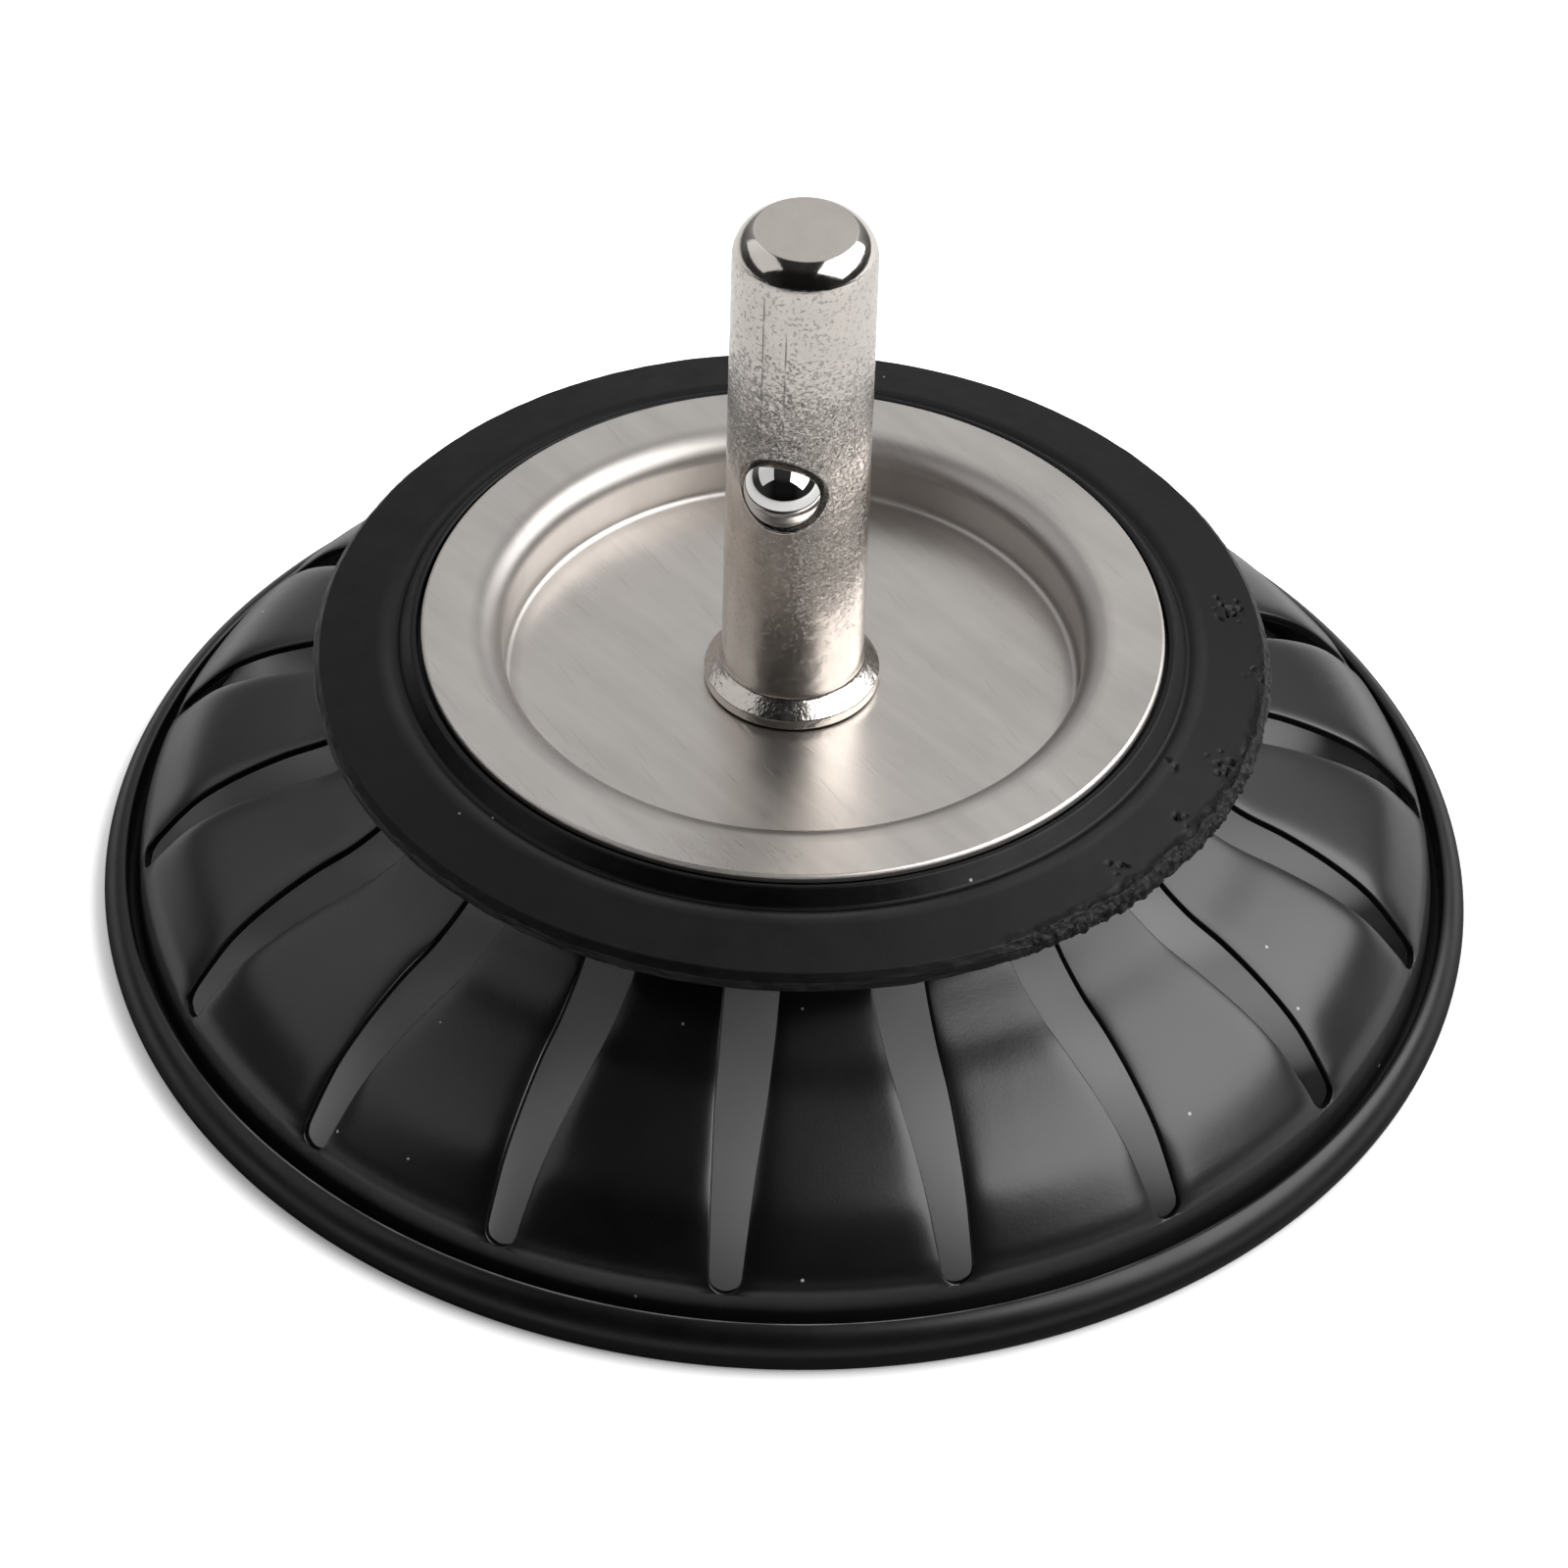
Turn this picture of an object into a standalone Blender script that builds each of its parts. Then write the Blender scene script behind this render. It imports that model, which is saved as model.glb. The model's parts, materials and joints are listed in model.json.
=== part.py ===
"""Kitchen-sink basket-strainer plug, standing upside down on its rim with its spindle pointing up.

The frame's origin is the centre of the rim's flat underside and +Z runs up the spindle.
A slotted basket carries a soft seal, a pressed steel dish clamps the seal, and the spindle's threaded
tail passes through the stack to a nut and a pull knob inside the basket's bowl. Two spring-loaded balls
stand out of the spindle's cross bore and snap into the waste's socket.
"""
import math

import bmesh
import bpy
from mathutils import Matrix, Vector

MM = 0.001                      # outlines below are in millimetres, the scene is in metres

# Driving dimensions, millimetres
RIM_RADIUS = 42.0
RIM_HEIGHT = 2.9
SLOT_COUNT = 18
FIRST_SLOT_DEG = -4.0           # measured from -Y towards +X
WALL = 0.5                      # coated steel sheet of the basket
SLOT_WIDE = 3.4                 # slot width at the neck
SLOT_NARROW = 1.9               # slot width at its round end
SLOT_END_RADIUS = 39.5
DECK_TOP = 16.5                 # flat top of the basket, under the dish
DECK_BOTTOM = 16.0
SEAL_RADIUS = 28.9
DISH_RADIUS = 22.4
DISH_TOP = 21.3
DISH_FLOOR = 17.4
SHEET = 0.6                     # steel sheet of the dish
RECESS_RADIUS = 17.55           # wall of the dish's recess
SPINDLE_RADIUS = 4.29
SPINDLE_TOP = 51.4
TOP_RADIUS = 3.0                # flat top of the spindle, inside its rounded shoulder
FLANGE_RADIUS = 5.3
TAIL_RADIUS = 2.5               # threaded tail, M5
TAIL_BOTTOM = 5.4
GAP = 0.3                       # between touching pieces
BALL_RADIUS = 2.38
BALL_REACH = 3.3                # ball centre's distance from the spindle's axis, balls out
BALL_HEIGHT = 34.7
BALL_BORE_RADIUS = 2.55
STAKE_DEPTH = 4.1               # where the staked lips begin, from the spindle's axis
STAKE_HALF_HEIGHT = 2.25
DETENT_DEG = -14.4              # direction of the cross bore, from -Y towards +X

# Ribbed wall of the basket from the neck to the rim, along the edge of a slot: radius, height, and how
# far the middle of a petal swells out of that line.
WALL_LINE = [
    (24.30, 15.90, 0.00),
    (24.75, 14.70, 0.00),
    (26.00, 13.45, 0.02),
    (28.20, 12.10, 0.04),
    (31.00, 11.05, 0.08),
    (34.00, 9.60, 0.14),
    (36.50, 7.85, 0.26),
    (38.55, 5.50, 0.30),
    (39.25, 4.45, 0.20),
    (39.50, 3.90, 0.12),
    (39.75, 2.90, 0.03),
    (39.80, 1.90, 0.00),
]
SLOT_END_ROW = 9                # the row of WALL_LINE at the slot's tip
PETAL_COLUMNS = 4
PETAL_ROLL = 4.0                # how quickly a petal rolls over towards its slots

COATED_STEEL = ("black_coated_steel", (0.012, 0.012, 0.013), 0.4, 0.0)
BLACK_PLASTIC = ("black_plastic", (0.012, 0.012, 0.013), 0.45, 0.0)
RIM_BLACK = ("rim_black", (0.012, 0.012, 0.013), 0.5, 0.0)
BLACK_RUBBER = ("black_rubber", (0.014, 0.014, 0.014), 0.75, 0.0)
BRUSHED_STEEL = ("brushed_steel", (0.62, 0.60, 0.58), 0.35, 1.0)
NICKEL = ("nickel", (0.60, 0.57, 0.54), 0.3, 1.0)
CHROME = ("chrome", (0.75, 0.75, 0.75), 0.08, 1.0)
SPRING_STEEL = ("spring_steel", (0.45, 0.45, 0.46), 0.35, 1.0)
BRASS = ("brass", (0.65, 0.47, 0.20), 0.35, 1.0)


def clear_scene():
    for ob in list(bpy.data.objects):
        bpy.data.objects.remove(ob, do_unlink=True)


def material(spec, owner):
    name, colour, roughness, metallic = spec
    mat = bpy.data.materials.new(owner + "_" + name)
    mat.use_nodes = True
    shader = mat.node_tree.nodes["Principled BSDF"]
    shader.inputs["Base Color"].default_value = (*colour, 1.0)
    shader.inputs["Roughness"].default_value = roughness
    shader.inputs["Metallic"].default_value = metallic
    return mat


def finish(bm, name, spec, sharp_deg=35.0):
    """Turn a bmesh in millimetres into a named object in metres."""
    bmesh.ops.recalc_face_normals(bm, faces=bm.faces)
    bmesh.ops.scale(bm, vec=(MM, MM, MM), verts=bm.verts)
    mesh = bpy.data.meshes.new(name)
    bm.to_mesh(mesh)
    bm.free()
    mesh.shade_smooth()
    mesh.set_sharp_from_angle(angle=math.radians(sharp_deg))
    mesh.materials.append(material(spec, name))
    ob = bpy.data.objects.new(name, mesh)
    bpy.context.collection.objects.link(ob)
    return ob


def arc(centre_r, centre_z, radius, start_deg, end_deg, steps):
    """Points of a round corner in the (radius, height) plane; 0 degrees points outwards."""
    points = []
    for i in range(steps + 1):
        a = math.radians(start_deg + (end_deg - start_deg) * i / steps)
        points.append((centre_r + radius * math.cos(a), centre_z + radius * math.sin(a)))
    return points


def turned(outline, segments):
    """Revolve a closed outline of (radius, height) about Z. A point on the axis becomes a pole."""
    bm = bmesh.new()
    rings = []
    for r, z in outline:
        if r == 0:
            rings.append([bm.verts.new((0, 0, z))] * segments)
            continue
        ring = []
        for i in range(segments):
            a = 2 * math.pi * i / segments
            ring.append(bm.verts.new((r * math.cos(a), r * math.sin(a), z)))
        rings.append(ring)
    for k in range(len(rings)):
        low, high = rings[k], rings[(k + 1) % len(rings)]
        for i in range(segments):
            j = (i + 1) % segments
            corners = list(dict.fromkeys([low[i], low[j], high[j], high[i]]))
            if len(corners) > 2:
                bm.faces.new(corners)
    return bm


def wall_normals():
    """Outward normals of WALL_LINE in the (radius, height) plane."""
    normals = []
    for k in range(len(WALL_LINE)):
        before = WALL_LINE[max(k - 1, 0)]
        after = WALL_LINE[min(k + 1, len(WALL_LINE) - 1)]
        run, rise = after[0] - before[0], after[1] - before[1]
        length = math.hypot(run, rise)
        normals.append((-rise / length, run / length))
    return normals


def slot_half_width(radius):
    """Half the slot's width at a radius, with its straight taper and round outer end."""
    end_r = SLOT_NARROW / 2
    round_start = SLOT_END_RADIUS - end_r
    if radius >= SLOT_END_RADIUS:
        return 0.0
    if radius > round_start:
        return math.sqrt(max(end_r ** 2 - (radius - round_start) ** 2, 0.0))
    neck = WALL_LINE[0][0]
    share = (radius - neck) / (round_start - neck)
    return (SLOT_WIDE + (SLOT_NARROW - SLOT_WIDE) * share) / 2


def make_basket():
    """Slotted basket: swollen petals between tapering slots, a flat deck and a thin flange at the rim."""
    bm = bmesh.new()
    pitch = 2 * math.pi / SLOT_COUNT
    first = math.radians(FIRST_SLOT_DEG) - math.pi / 2
    normals = wall_normals()
    last = len(WALL_LINE) - 1
    # Every row is (radius, height, normal, swell, slot half width). Outer skin first, from the bore out
    # to the flange, then the inner skin back to the bore.
    neck_half = slot_half_width(WALL_LINE[0][0])
    outer = [(3.1, DECK_TOP, (0, 1), 0, neck_half / 6), (23.7, DECK_TOP, (0, 1), 0, neck_half)]
    for (r, z, swell), normal in zip(WALL_LINE, normals):
        outer.append((r, z, normal, swell, slot_half_width(r)))
    rim = [(41.1, 1.35, (1, 0), 0, 0), (41.1, 0.75, (1, 0), 0, 0), (39.6, 0.75, (0, -1), 0, 0)]
    inner = []
    for k in range(last, 0, -1):
        r, z, swell = WALL_LINE[k]
        n = normals[k]
        inner.append((r - WALL * n[0], z - WALL * n[1], n, swell, slot_half_width(r)))
    inner.append((WALL_LINE[0][0] - WALL, DECK_BOTTOM, (0, -1), 0, neck_half))
    inner.append((3.1, DECK_BOTTOM, (0, -1), 0, neck_half / 6))
    rows = outer + rim + inner
    slot_first = 2
    slot_last = slot_first + SLOT_END_ROW
    inner_last = len(rows) - 2
    inner_first = inner_last - SLOT_END_ROW

    closed = range(slot_last, inner_first + 1)      # rows past the slots' tips have no gap to bridge
    verts = {}
    for row, (r, z, n, swell, half) in enumerate(rows):
        edge = math.asin(half / r) if half else 0.0
        for k in range(SLOT_COUNT):
            for c in range(PETAL_COLUMNS + 1):
                if row in closed and c == PETAL_COLUMNS:
                    continue
                across = 2 * c / PETAL_COLUMNS - 1
                out = swell * (1 - abs(across) ** PETAL_ROLL)
                a = first + k * pitch + edge + (pitch - 2 * edge) * c / PETAL_COLUMNS
                rr = r + out * n[0]
                verts[row, k, c] = bm.verts.new((rr * math.cos(a), rr * math.sin(a), z + out * n[1]))
        if row in closed:
            for k in range(SLOT_COUNT):
                verts[row, k, PETAL_COLUMNS] = verts[row, (k + 1) % SLOT_COUNT, 0]

    def face(*keys):
        corners = list(dict.fromkeys(verts[key] for key in keys))
        if len(corners) > 2:
            bm.faces.new(corners)

    slotted = set(range(slot_first, slot_last)) | set(range(inner_first, inner_last))
    count = len(rows)
    for row in range(count):
        nxt = (row + 1) % count
        for k in range(SLOT_COUNT):
            side = (k + 1) % SLOT_COUNT
            for c in range(PETAL_COLUMNS):
                face((row, k, c), (row, k, c + 1), (nxt, k, c + 1), (nxt, k, c))
            if row not in slotted and not (row in closed and nxt in closed):
                face((row, k, PETAL_COLUMNS), (row, side, 0), (nxt, side, 0), (nxt, k, PETAL_COLUMNS))
    for step in range(SLOT_END_ROW):                # the slots' side walls, outer skin to inner skin
        up, down = slot_first + step, slot_first + step + 1
        up_in, down_in = inner_last - step, inner_last - step - 1
        for k in range(SLOT_COUNT):
            for c in (0, PETAL_COLUMNS):
                face((up, k, c), (down, k, c), (down_in, k, c), (up_in, k, c))
    for k in range(SLOT_COUNT):                     # the slots' straight inner ends
        side = (k + 1) % SLOT_COUNT
        face((slot_first, k, PETAL_COLUMNS), (slot_first, side, 0),
             (inner_last, side, 0), (inner_last, k, PETAL_COLUMNS))
    return finish(bm, "strainer_basket", COATED_STEEL, sharp_deg=50)


def make_rim_ring():
    """C-shaped edge ring round the basket's flange, rounded outside, flat underneath."""
    crown = arc(40.75, RIM_HEIGHT - 0.25, 0.25, 180, 110, 1)
    shoulder = arc(RIM_RADIUS - 1.4, 1.3, 1.4, 68, -8, 4)
    outline = crown + shoulder + [
        (RIM_RADIUS - 0.12, 0.35),
        (RIM_RADIUS - 0.4, 0.0),
        (40.5, 0.0),
        (40.5, 0.45),
        (41.4, 0.45),
        (41.4, 1.65),
        (40.5, 1.65),
    ]
    return finish(turned(outline, 48), "rim_ring", RIM_BLACK)


def make_seal():
    """Moulded rubber ring: a thick hub under the dish, a bead round the dish's edge and a thin lip."""
    bead = arc(22.95, 20.72, 0.28, 175, 45, 3)
    outline = [(18.5, 20.4), (22.7, 20.4)] + bead + [
        (23.95, 20.04),
        (24.4, 20.1),
        (28.5, 19.35),
        (28.8, 19.15),
        (SEAL_RADIUS, 18.8),
        (28.8, 18.1),
        (28.4, 17.85),
        (25.0, 17.6),
        (24.2, 16.8),
        (18.5, 16.8),
    ]
    return finish(turned(outline, 48), "seal", BLACK_RUBBER)


def make_dish():
    """Deep-drawn steel dish: flat annulus, rounded lip, steep wall and flat floor with a centre hole."""
    lip = 1.5
    foot = 0.5
    hole = TAIL_RADIUS + GAP
    top = [(DISH_RADIUS, DISH_TOP - 0.12), (DISH_RADIUS - 0.12, DISH_TOP)]
    top += arc(RECESS_RADIUS + lip, DISH_TOP - lip, lip, 90, 180, 4)
    top += arc(RECESS_RADIUS - foot, DISH_FLOOR + foot, foot, 0, -90, 2)
    top += [(hole, DISH_FLOOR), (hole, DISH_FLOOR - SHEET)]
    under = [(RECESS_RADIUS - foot, DISH_FLOOR - SHEET), (RECESS_RADIUS + SHEET, DISH_FLOOR + foot)]
    under += arc(RECESS_RADIUS + lip, DISH_TOP - lip, lip - SHEET, 180, 90, 2)
    under += [(DISH_RADIUS, DISH_TOP - SHEET)]
    return finish(turned(top + under, 48), "retaining_dish", BRUSHED_STEEL)


def detent_matrix():
    """Frame whose +X points out of the cross bore's front mouth, with its origin on the spindle's axis."""
    turn = math.radians(DETENT_DEG) - math.pi / 2
    return Matrix.Translation((0, 0, BALL_HEIGHT * MM)) @ Matrix.Rotation(turn, 4, "Z")


def cutter(name, length, centre, half_wide, half_high, matrix):
    """Rod along the detent frame's X, elliptical in section, used only to cut the spindle."""
    bm = bmesh.new()
    bmesh.ops.create_cone(bm, cap_ends=True, segments=24, radius1=1, radius2=1, depth=length)
    bmesh.ops.rotate(bm, cent=(0, 0, 0), matrix=Matrix.Rotation(math.pi / 2, 3, "Y"), verts=bm.verts)
    bmesh.ops.scale(bm, vec=(1, half_wide, half_high), verts=bm.verts)
    bmesh.ops.translate(bm, vec=(centre, 0, 0), verts=bm.verts)
    ob = finish(bm, name, NICKEL)
    ob.matrix_world = matrix
    ob.hide_render = True
    ob.display_type = "WIRE"
    return ob


def make_spindle():
    """Turned spindle: rounded top, shaft, bevelled flange with an O-ring groove, threaded tail."""
    lean = 65                       # the rounded shoulder meets the flat top at this angle
    shoulder = (SPINDLE_RADIUS - TOP_RADIUS) / (1 - math.cos(math.radians(lean)))
    shoulder_low = SPINDLE_TOP - shoulder * math.sin(math.radians(lean))
    outline = [(0, TAIL_BOTTOM), (TAIL_RADIUS - 0.4, TAIL_BOTTOM), (TAIL_RADIUS, TAIL_BOTTOM + 0.4)]
    outline += [(TAIL_RADIUS, 18.6), (4.1, 18.6), (4.1, 17.6)]
    outline += [(FLANGE_RADIUS, 17.6), (FLANGE_RADIUS, 18.15), (4.5, 18.8)]
    outline += [(SPINDLE_RADIUS, 19.15)]
    outline += arc(SPINDLE_RADIUS - shoulder, shoulder_low, shoulder, 0, lean, 4)
    outline += [(0, SPINDLE_TOP)]
    spindle = finish(turned(outline, 36), "spindle", NICKEL)
    matrix = detent_matrix()
    bore = cutter("bore_cutter", 2 * STAKE_DEPTH, 0, BALL_BORE_RADIUS, BALL_BORE_RADIUS, matrix)
    mouth = cutter("mouth_cutter", 4 * SPINDLE_RADIUS, 0, BALL_BORE_RADIUS - 0.02, STAKE_HALF_HEIGHT, matrix)
    for tool in (bore, mouth):
        cut = spindle.modifiers.new(tool.name, "BOOLEAN")
        cut.operation = "DIFFERENCE"
        cut.solver = "EXACT"
        cut.object = tool
    return spindle


def make_ball(name, side):
    """Detent ball; its origin is its centre, which slides along the cross bore."""
    bm = bmesh.new()
    bmesh.ops.create_uvsphere(bm, u_segments=16, v_segments=10, radius=BALL_RADIUS)
    ball = finish(bm, name, CHROME, sharp_deg=180)
    ball.matrix_world = detent_matrix() @ Matrix.Translation((side * BALL_REACH * MM, 0, 0))
    return ball


def make_spring():
    """Short compression spring between the two balls."""
    turns, coil_r, wire_r = 2.5, 1.6, 0.17
    half_length = 1.12
    steps_per_turn, sides = 12, 6
    steps = int(turns * steps_per_turn)
    bm = bmesh.new()
    rings = []
    for i in range(steps + 1):
        a = 2 * math.pi * i / steps_per_turn
        x = -half_length + 2 * half_length * i / steps
        centre = Vector((x, coil_r * math.cos(a), coil_r * math.sin(a)))
        tangent = Vector((2 * half_length / steps * steps_per_turn / (2 * math.pi),
                          -coil_r * math.sin(a), coil_r * math.cos(a))).normalized()
        radial = Vector((0, math.cos(a), math.sin(a)))
        side = tangent.cross(radial).normalized()
        ring = []
        for s in range(sides):
            b = 2 * math.pi * s / sides
            ring.append(bm.verts.new(centre + wire_r * (math.cos(b) * radial + math.sin(b) * side)))
        rings.append(ring)
    for lower, upper in zip(rings, rings[1:]):
        for s in range(sides):
            t = (s + 1) % sides
            bm.faces.new((lower[s], lower[t], upper[t], upper[s]))
    bm.faces.new(rings[0])
    bm.faces.new(rings[-1])
    spring = finish(bm, "detent_spring", SPRING_STEEL, sharp_deg=70)
    spring.matrix_world = detent_matrix()
    return spring


def make_o_ring():
    """O-ring in the groove under the spindle's flange."""
    return finish(turned(arc(3.3, 18.0, 0.5, 0, 300, 5), 24), "spindle_o_ring", BLACK_RUBBER)


def make_backing_washer():
    """Flat washer that spreads the clamp load over the basket's deck, inside the bowl."""
    outline = [(2.8, 14.1), (9.0, 14.1), (9.0, 15.7), (2.8, 15.7)]
    return finish(turned(outline, 32), "backing_washer", BRUSHED_STEEL)


def make_lock_washer():
    """Split spring washer: a flat helix of square wire, one turn less the split."""
    inner_r, outer_r, low, thick, rise = 2.8, 4.5, 12.6, 0.9, 0.3
    steps, split_deg = 24, 12
    bm = bmesh.new()
    rings = []
    for i in range(steps + 1):
        a = math.radians(split_deg / 2 + (360 - split_deg) * i / steps)
        z = low + rise * i / steps
        corners = [(inner_r, z), (outer_r, z), (outer_r, z + thick), (inner_r, z + thick)]
        rings.append([bm.verts.new((r * math.cos(a), r * math.sin(a), h)) for r, h in corners])
    for lower, upper in zip(rings, rings[1:]):
        for s in range(4):
            t = (s + 1) % 4
            bm.faces.new((lower[s], lower[t], upper[t], upper[s]))
    bm.faces.new(rings[0])
    bm.faces.new(rings[-1])
    return finish(bm, "lock_washer", SPRING_STEEL)


def make_clamp_nut():
    """Hexagon nut on the tail: it clamps the basket, seal and dish against the spindle's flange."""
    flats, bore, low, high = 8.0, TAIL_RADIUS + GAP, 9.5, 12.3
    chamfer = 0.35
    corner = flats / math.sqrt(3)
    bm = bmesh.new()
    sides = 24
    levels = []
    for z, shrink in ((low, chamfer), (low + chamfer, 0), (high - chamfer, 0), (high, chamfer)):
        ring = []
        for i in range(sides):
            a = 2 * math.pi * i / sides
            to_corner = (a + math.pi / 6) % (math.pi / 3) - math.pi / 6
            hexagon = flats / 2 / math.cos(math.pi / 6 - abs(to_corner))
            r = min(hexagon, corner - shrink)
            ring.append(bm.verts.new((r * math.cos(a), r * math.sin(a), z)))
        levels.append(ring)
    for z in (high, low):
        ring = [2 * math.pi * i / sides for i in range(sides)]
        levels.append([bm.verts.new((bore * math.cos(a), bore * math.sin(a), z)) for a in ring])
    for k in range(len(levels)):
        lower, upper = levels[k], levels[(k + 1) % len(levels)]
        for i in range(sides):
            j = (i + 1) % sides
            bm.faces.new((lower[i], lower[j], upper[j], upper[i]))
    return finish(bm, "clamp_nut", BRUSHED_STEEL)


def make_knob_insert():
    """Brass insert with the knob's thread, held in the knob's blind bore."""
    outline = [(2.8, 5.0), (3.7, 5.0), (3.7, 6.4), (3.4, 6.6), (3.4, 7.0), (3.7, 7.2), (3.7, 8.6), (2.8, 8.6)]
    return finish(turned(outline, 24), "knob_insert", BRASS)


def make_knob():
    """Mushroom pull knob: hollow neck over the nut, waist for the fingertips, domed head."""
    head = arc(7.5, 5.6, 3.0, 60, -75, 5)
    outline = [(0, 2.45), (4.0, 2.55)] + head[::-1]
    outline += [(6.9, 9.0), (6.5, 10.6), (6.6, 12.4), (6.9, 13.6), (6.6, 13.9)]
    outline += [(5.2, 13.9), (5.2, 9.2), (4.0, 8.9), (4.0, 4.7), (0, 4.7)]
    return finish(turned(outline, 32), "pull_knob", BLACK_PLASTIC)


def build():
    clear_scene()
    make_basket()
    make_rim_ring()
    make_seal()
    make_dish()
    make_spindle()
    make_ball("detent_ball_front", 1)
    make_ball("detent_ball_rear", -1)
    make_spring()
    make_o_ring()
    make_backing_washer()
    make_lock_washer()
    make_clamp_nut()
    make_knob_insert()
    make_knob()


build()
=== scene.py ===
"""Looks of the basket-strainer plug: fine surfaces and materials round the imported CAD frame."""
import json
import math

import bmesh
import bpy
import numpy as np
from mathutils import Matrix, Vector, noise


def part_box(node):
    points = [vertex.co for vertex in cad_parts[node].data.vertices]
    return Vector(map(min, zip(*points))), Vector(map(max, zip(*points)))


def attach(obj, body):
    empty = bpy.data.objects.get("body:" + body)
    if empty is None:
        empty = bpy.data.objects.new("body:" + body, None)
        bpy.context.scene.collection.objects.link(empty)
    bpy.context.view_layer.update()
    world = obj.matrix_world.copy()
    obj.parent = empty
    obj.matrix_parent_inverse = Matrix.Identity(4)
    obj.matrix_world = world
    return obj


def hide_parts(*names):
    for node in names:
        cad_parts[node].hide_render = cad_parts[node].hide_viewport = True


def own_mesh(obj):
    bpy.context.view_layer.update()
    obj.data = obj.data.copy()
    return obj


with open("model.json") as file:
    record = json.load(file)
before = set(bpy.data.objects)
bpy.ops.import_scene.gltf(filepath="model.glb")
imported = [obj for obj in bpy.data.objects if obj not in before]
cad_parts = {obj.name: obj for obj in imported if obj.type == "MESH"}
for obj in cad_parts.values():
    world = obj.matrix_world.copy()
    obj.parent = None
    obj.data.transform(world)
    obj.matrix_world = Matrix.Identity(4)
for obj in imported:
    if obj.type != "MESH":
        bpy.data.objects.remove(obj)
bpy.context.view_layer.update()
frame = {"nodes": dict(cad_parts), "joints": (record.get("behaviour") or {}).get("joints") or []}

MM = 0.001


def high(node):
    """Highest corner of a CAD node, in millimetres."""
    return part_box(node)[1] / MM


def low(node):
    """Lowest corner of a CAD node, in millimetres."""
    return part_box(node)[0] / MM


# Sizes read from the frame, in millimetres
RIM_RADIUS = high("rim_ring").x
RIM_HEIGHT = high("rim_ring").z
BASKET_RADIUS = high("strainer_basket").x
DECK_TOP = high("strainer_basket").z
SEAL_RADIUS = high("seal").x
DISH_RADIUS = high("retaining_dish").x
DISH_TOP = high("retaining_dish").z
SPINDLE_TOP = high("spindle").z
FLANGE_RADIUS = high("spindle").x
KNOB_LOW = low("pull_knob").z
KNOB_TOP = high("pull_knob").z
BALL_CENTRE = (high("detent_ball_front") + low("detent_ball_front")) / 2
BALL_RADIUS = (high("detent_ball_front").z - low("detent_ball_front").z) / 2
BALL_REACH = math.hypot(BALL_CENTRE.x, BALL_CENTRE.y)
OUT = -Vector([j["axis"] for j in frame["joints"] if j["name"] == "front_ball_slide"][0])
DETENT_TURN = math.atan2(OUT.y, OUT.x)

# Shape details the frame only outlines, in millimetres
RIM_BORE = 40.5
RIM_CREST = 0.3                  # roll from the rim's bore onto its top
SPINDLE_RADIUS = 4.29
SHOULDER_DEG = 65.0              # lean of the rounded shoulder's normal at the flat top's edge
SHOULDER_ROUND = 2.234           # its radius, down to the shaft
SHOULDER_INNER = 3.0             # edge of the flat top
DISH_FLOOR = 17.4
RECESS_RADIUS = 17.55
SHEET = 0.6
WALL = 0.5
PETAL_ROLL = 9.0                 # how quickly a petal rolls over towards its slots
PETAL_FACET = 0.06               # how far its flanks rise to make it flat across, rather than round
SLOT_COUNT = 18
FIRST_SLOT_DEG = -4.0            # measured from -Y towards +X
SLOT_END_RADIUS = 0.94           # round end of a slot
EDGE_ROUND = 0.07                # softened edge of the pressed slots

# Ribbed wall from the neck to the rim along a slot's edge: radius, height, swell of the petal's middle,
# slot width. The slot ends at the tenth row.
WALL_LINE = [
    (24.30, 15.90, 0.00, 3.30),
    (24.75, 14.70, 0.00, 3.28),
    (26.00, 13.45, 0.02, 3.24),
    (28.20, 12.10, 0.04, 3.16),
    (31.00, 11.05, 0.08, 3.02),
    (34.00, 9.60, 0.12, 2.66),
    (36.50, 7.85, 0.17, 2.34),
    (38.55, 5.50, 0.18, 2.02),
    (39.25, 4.45, 0.12, 1.90),
    (39.50, 3.90, 0.08, 1.88),
    (39.75, 2.90, 0.03, 1.88),
    (39.80, 1.90, 0.00, 1.88),
]
SLOT_END_ROW = 9

# Pitted spots of the rubber: angle from -Y towards +X, radius, size, depth
PITS = [(100.0, 26.9, 1.3, 0.35), (88.0, 27.9, 0.8, 0.3), (70.0, 27.3, 1.0, 0.35), (66.0, 24.9, 0.6, 0.25),
        (58.0, 27.4, 0.6, 0.25), (46.0, 26.9, 0.7, 0.25)]


# ---------------------------------------------------------------- mesh helpers

def new_object(name, verts, faces, sharp_deg=40.0):
    """Object in metres from vertices in millimetres."""
    mesh = bpy.data.meshes.new(name)
    mesh.from_pydata([tuple(c * MM for c in v) for v in verts], [], faces)
    mesh.validate()
    mesh.shade_smooth()
    mesh.set_sharp_from_angle(angle=math.radians(sharp_deg))
    ob = bpy.data.objects.new(name, mesh)
    bpy.context.scene.collection.objects.link(ob)
    return ob


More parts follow.
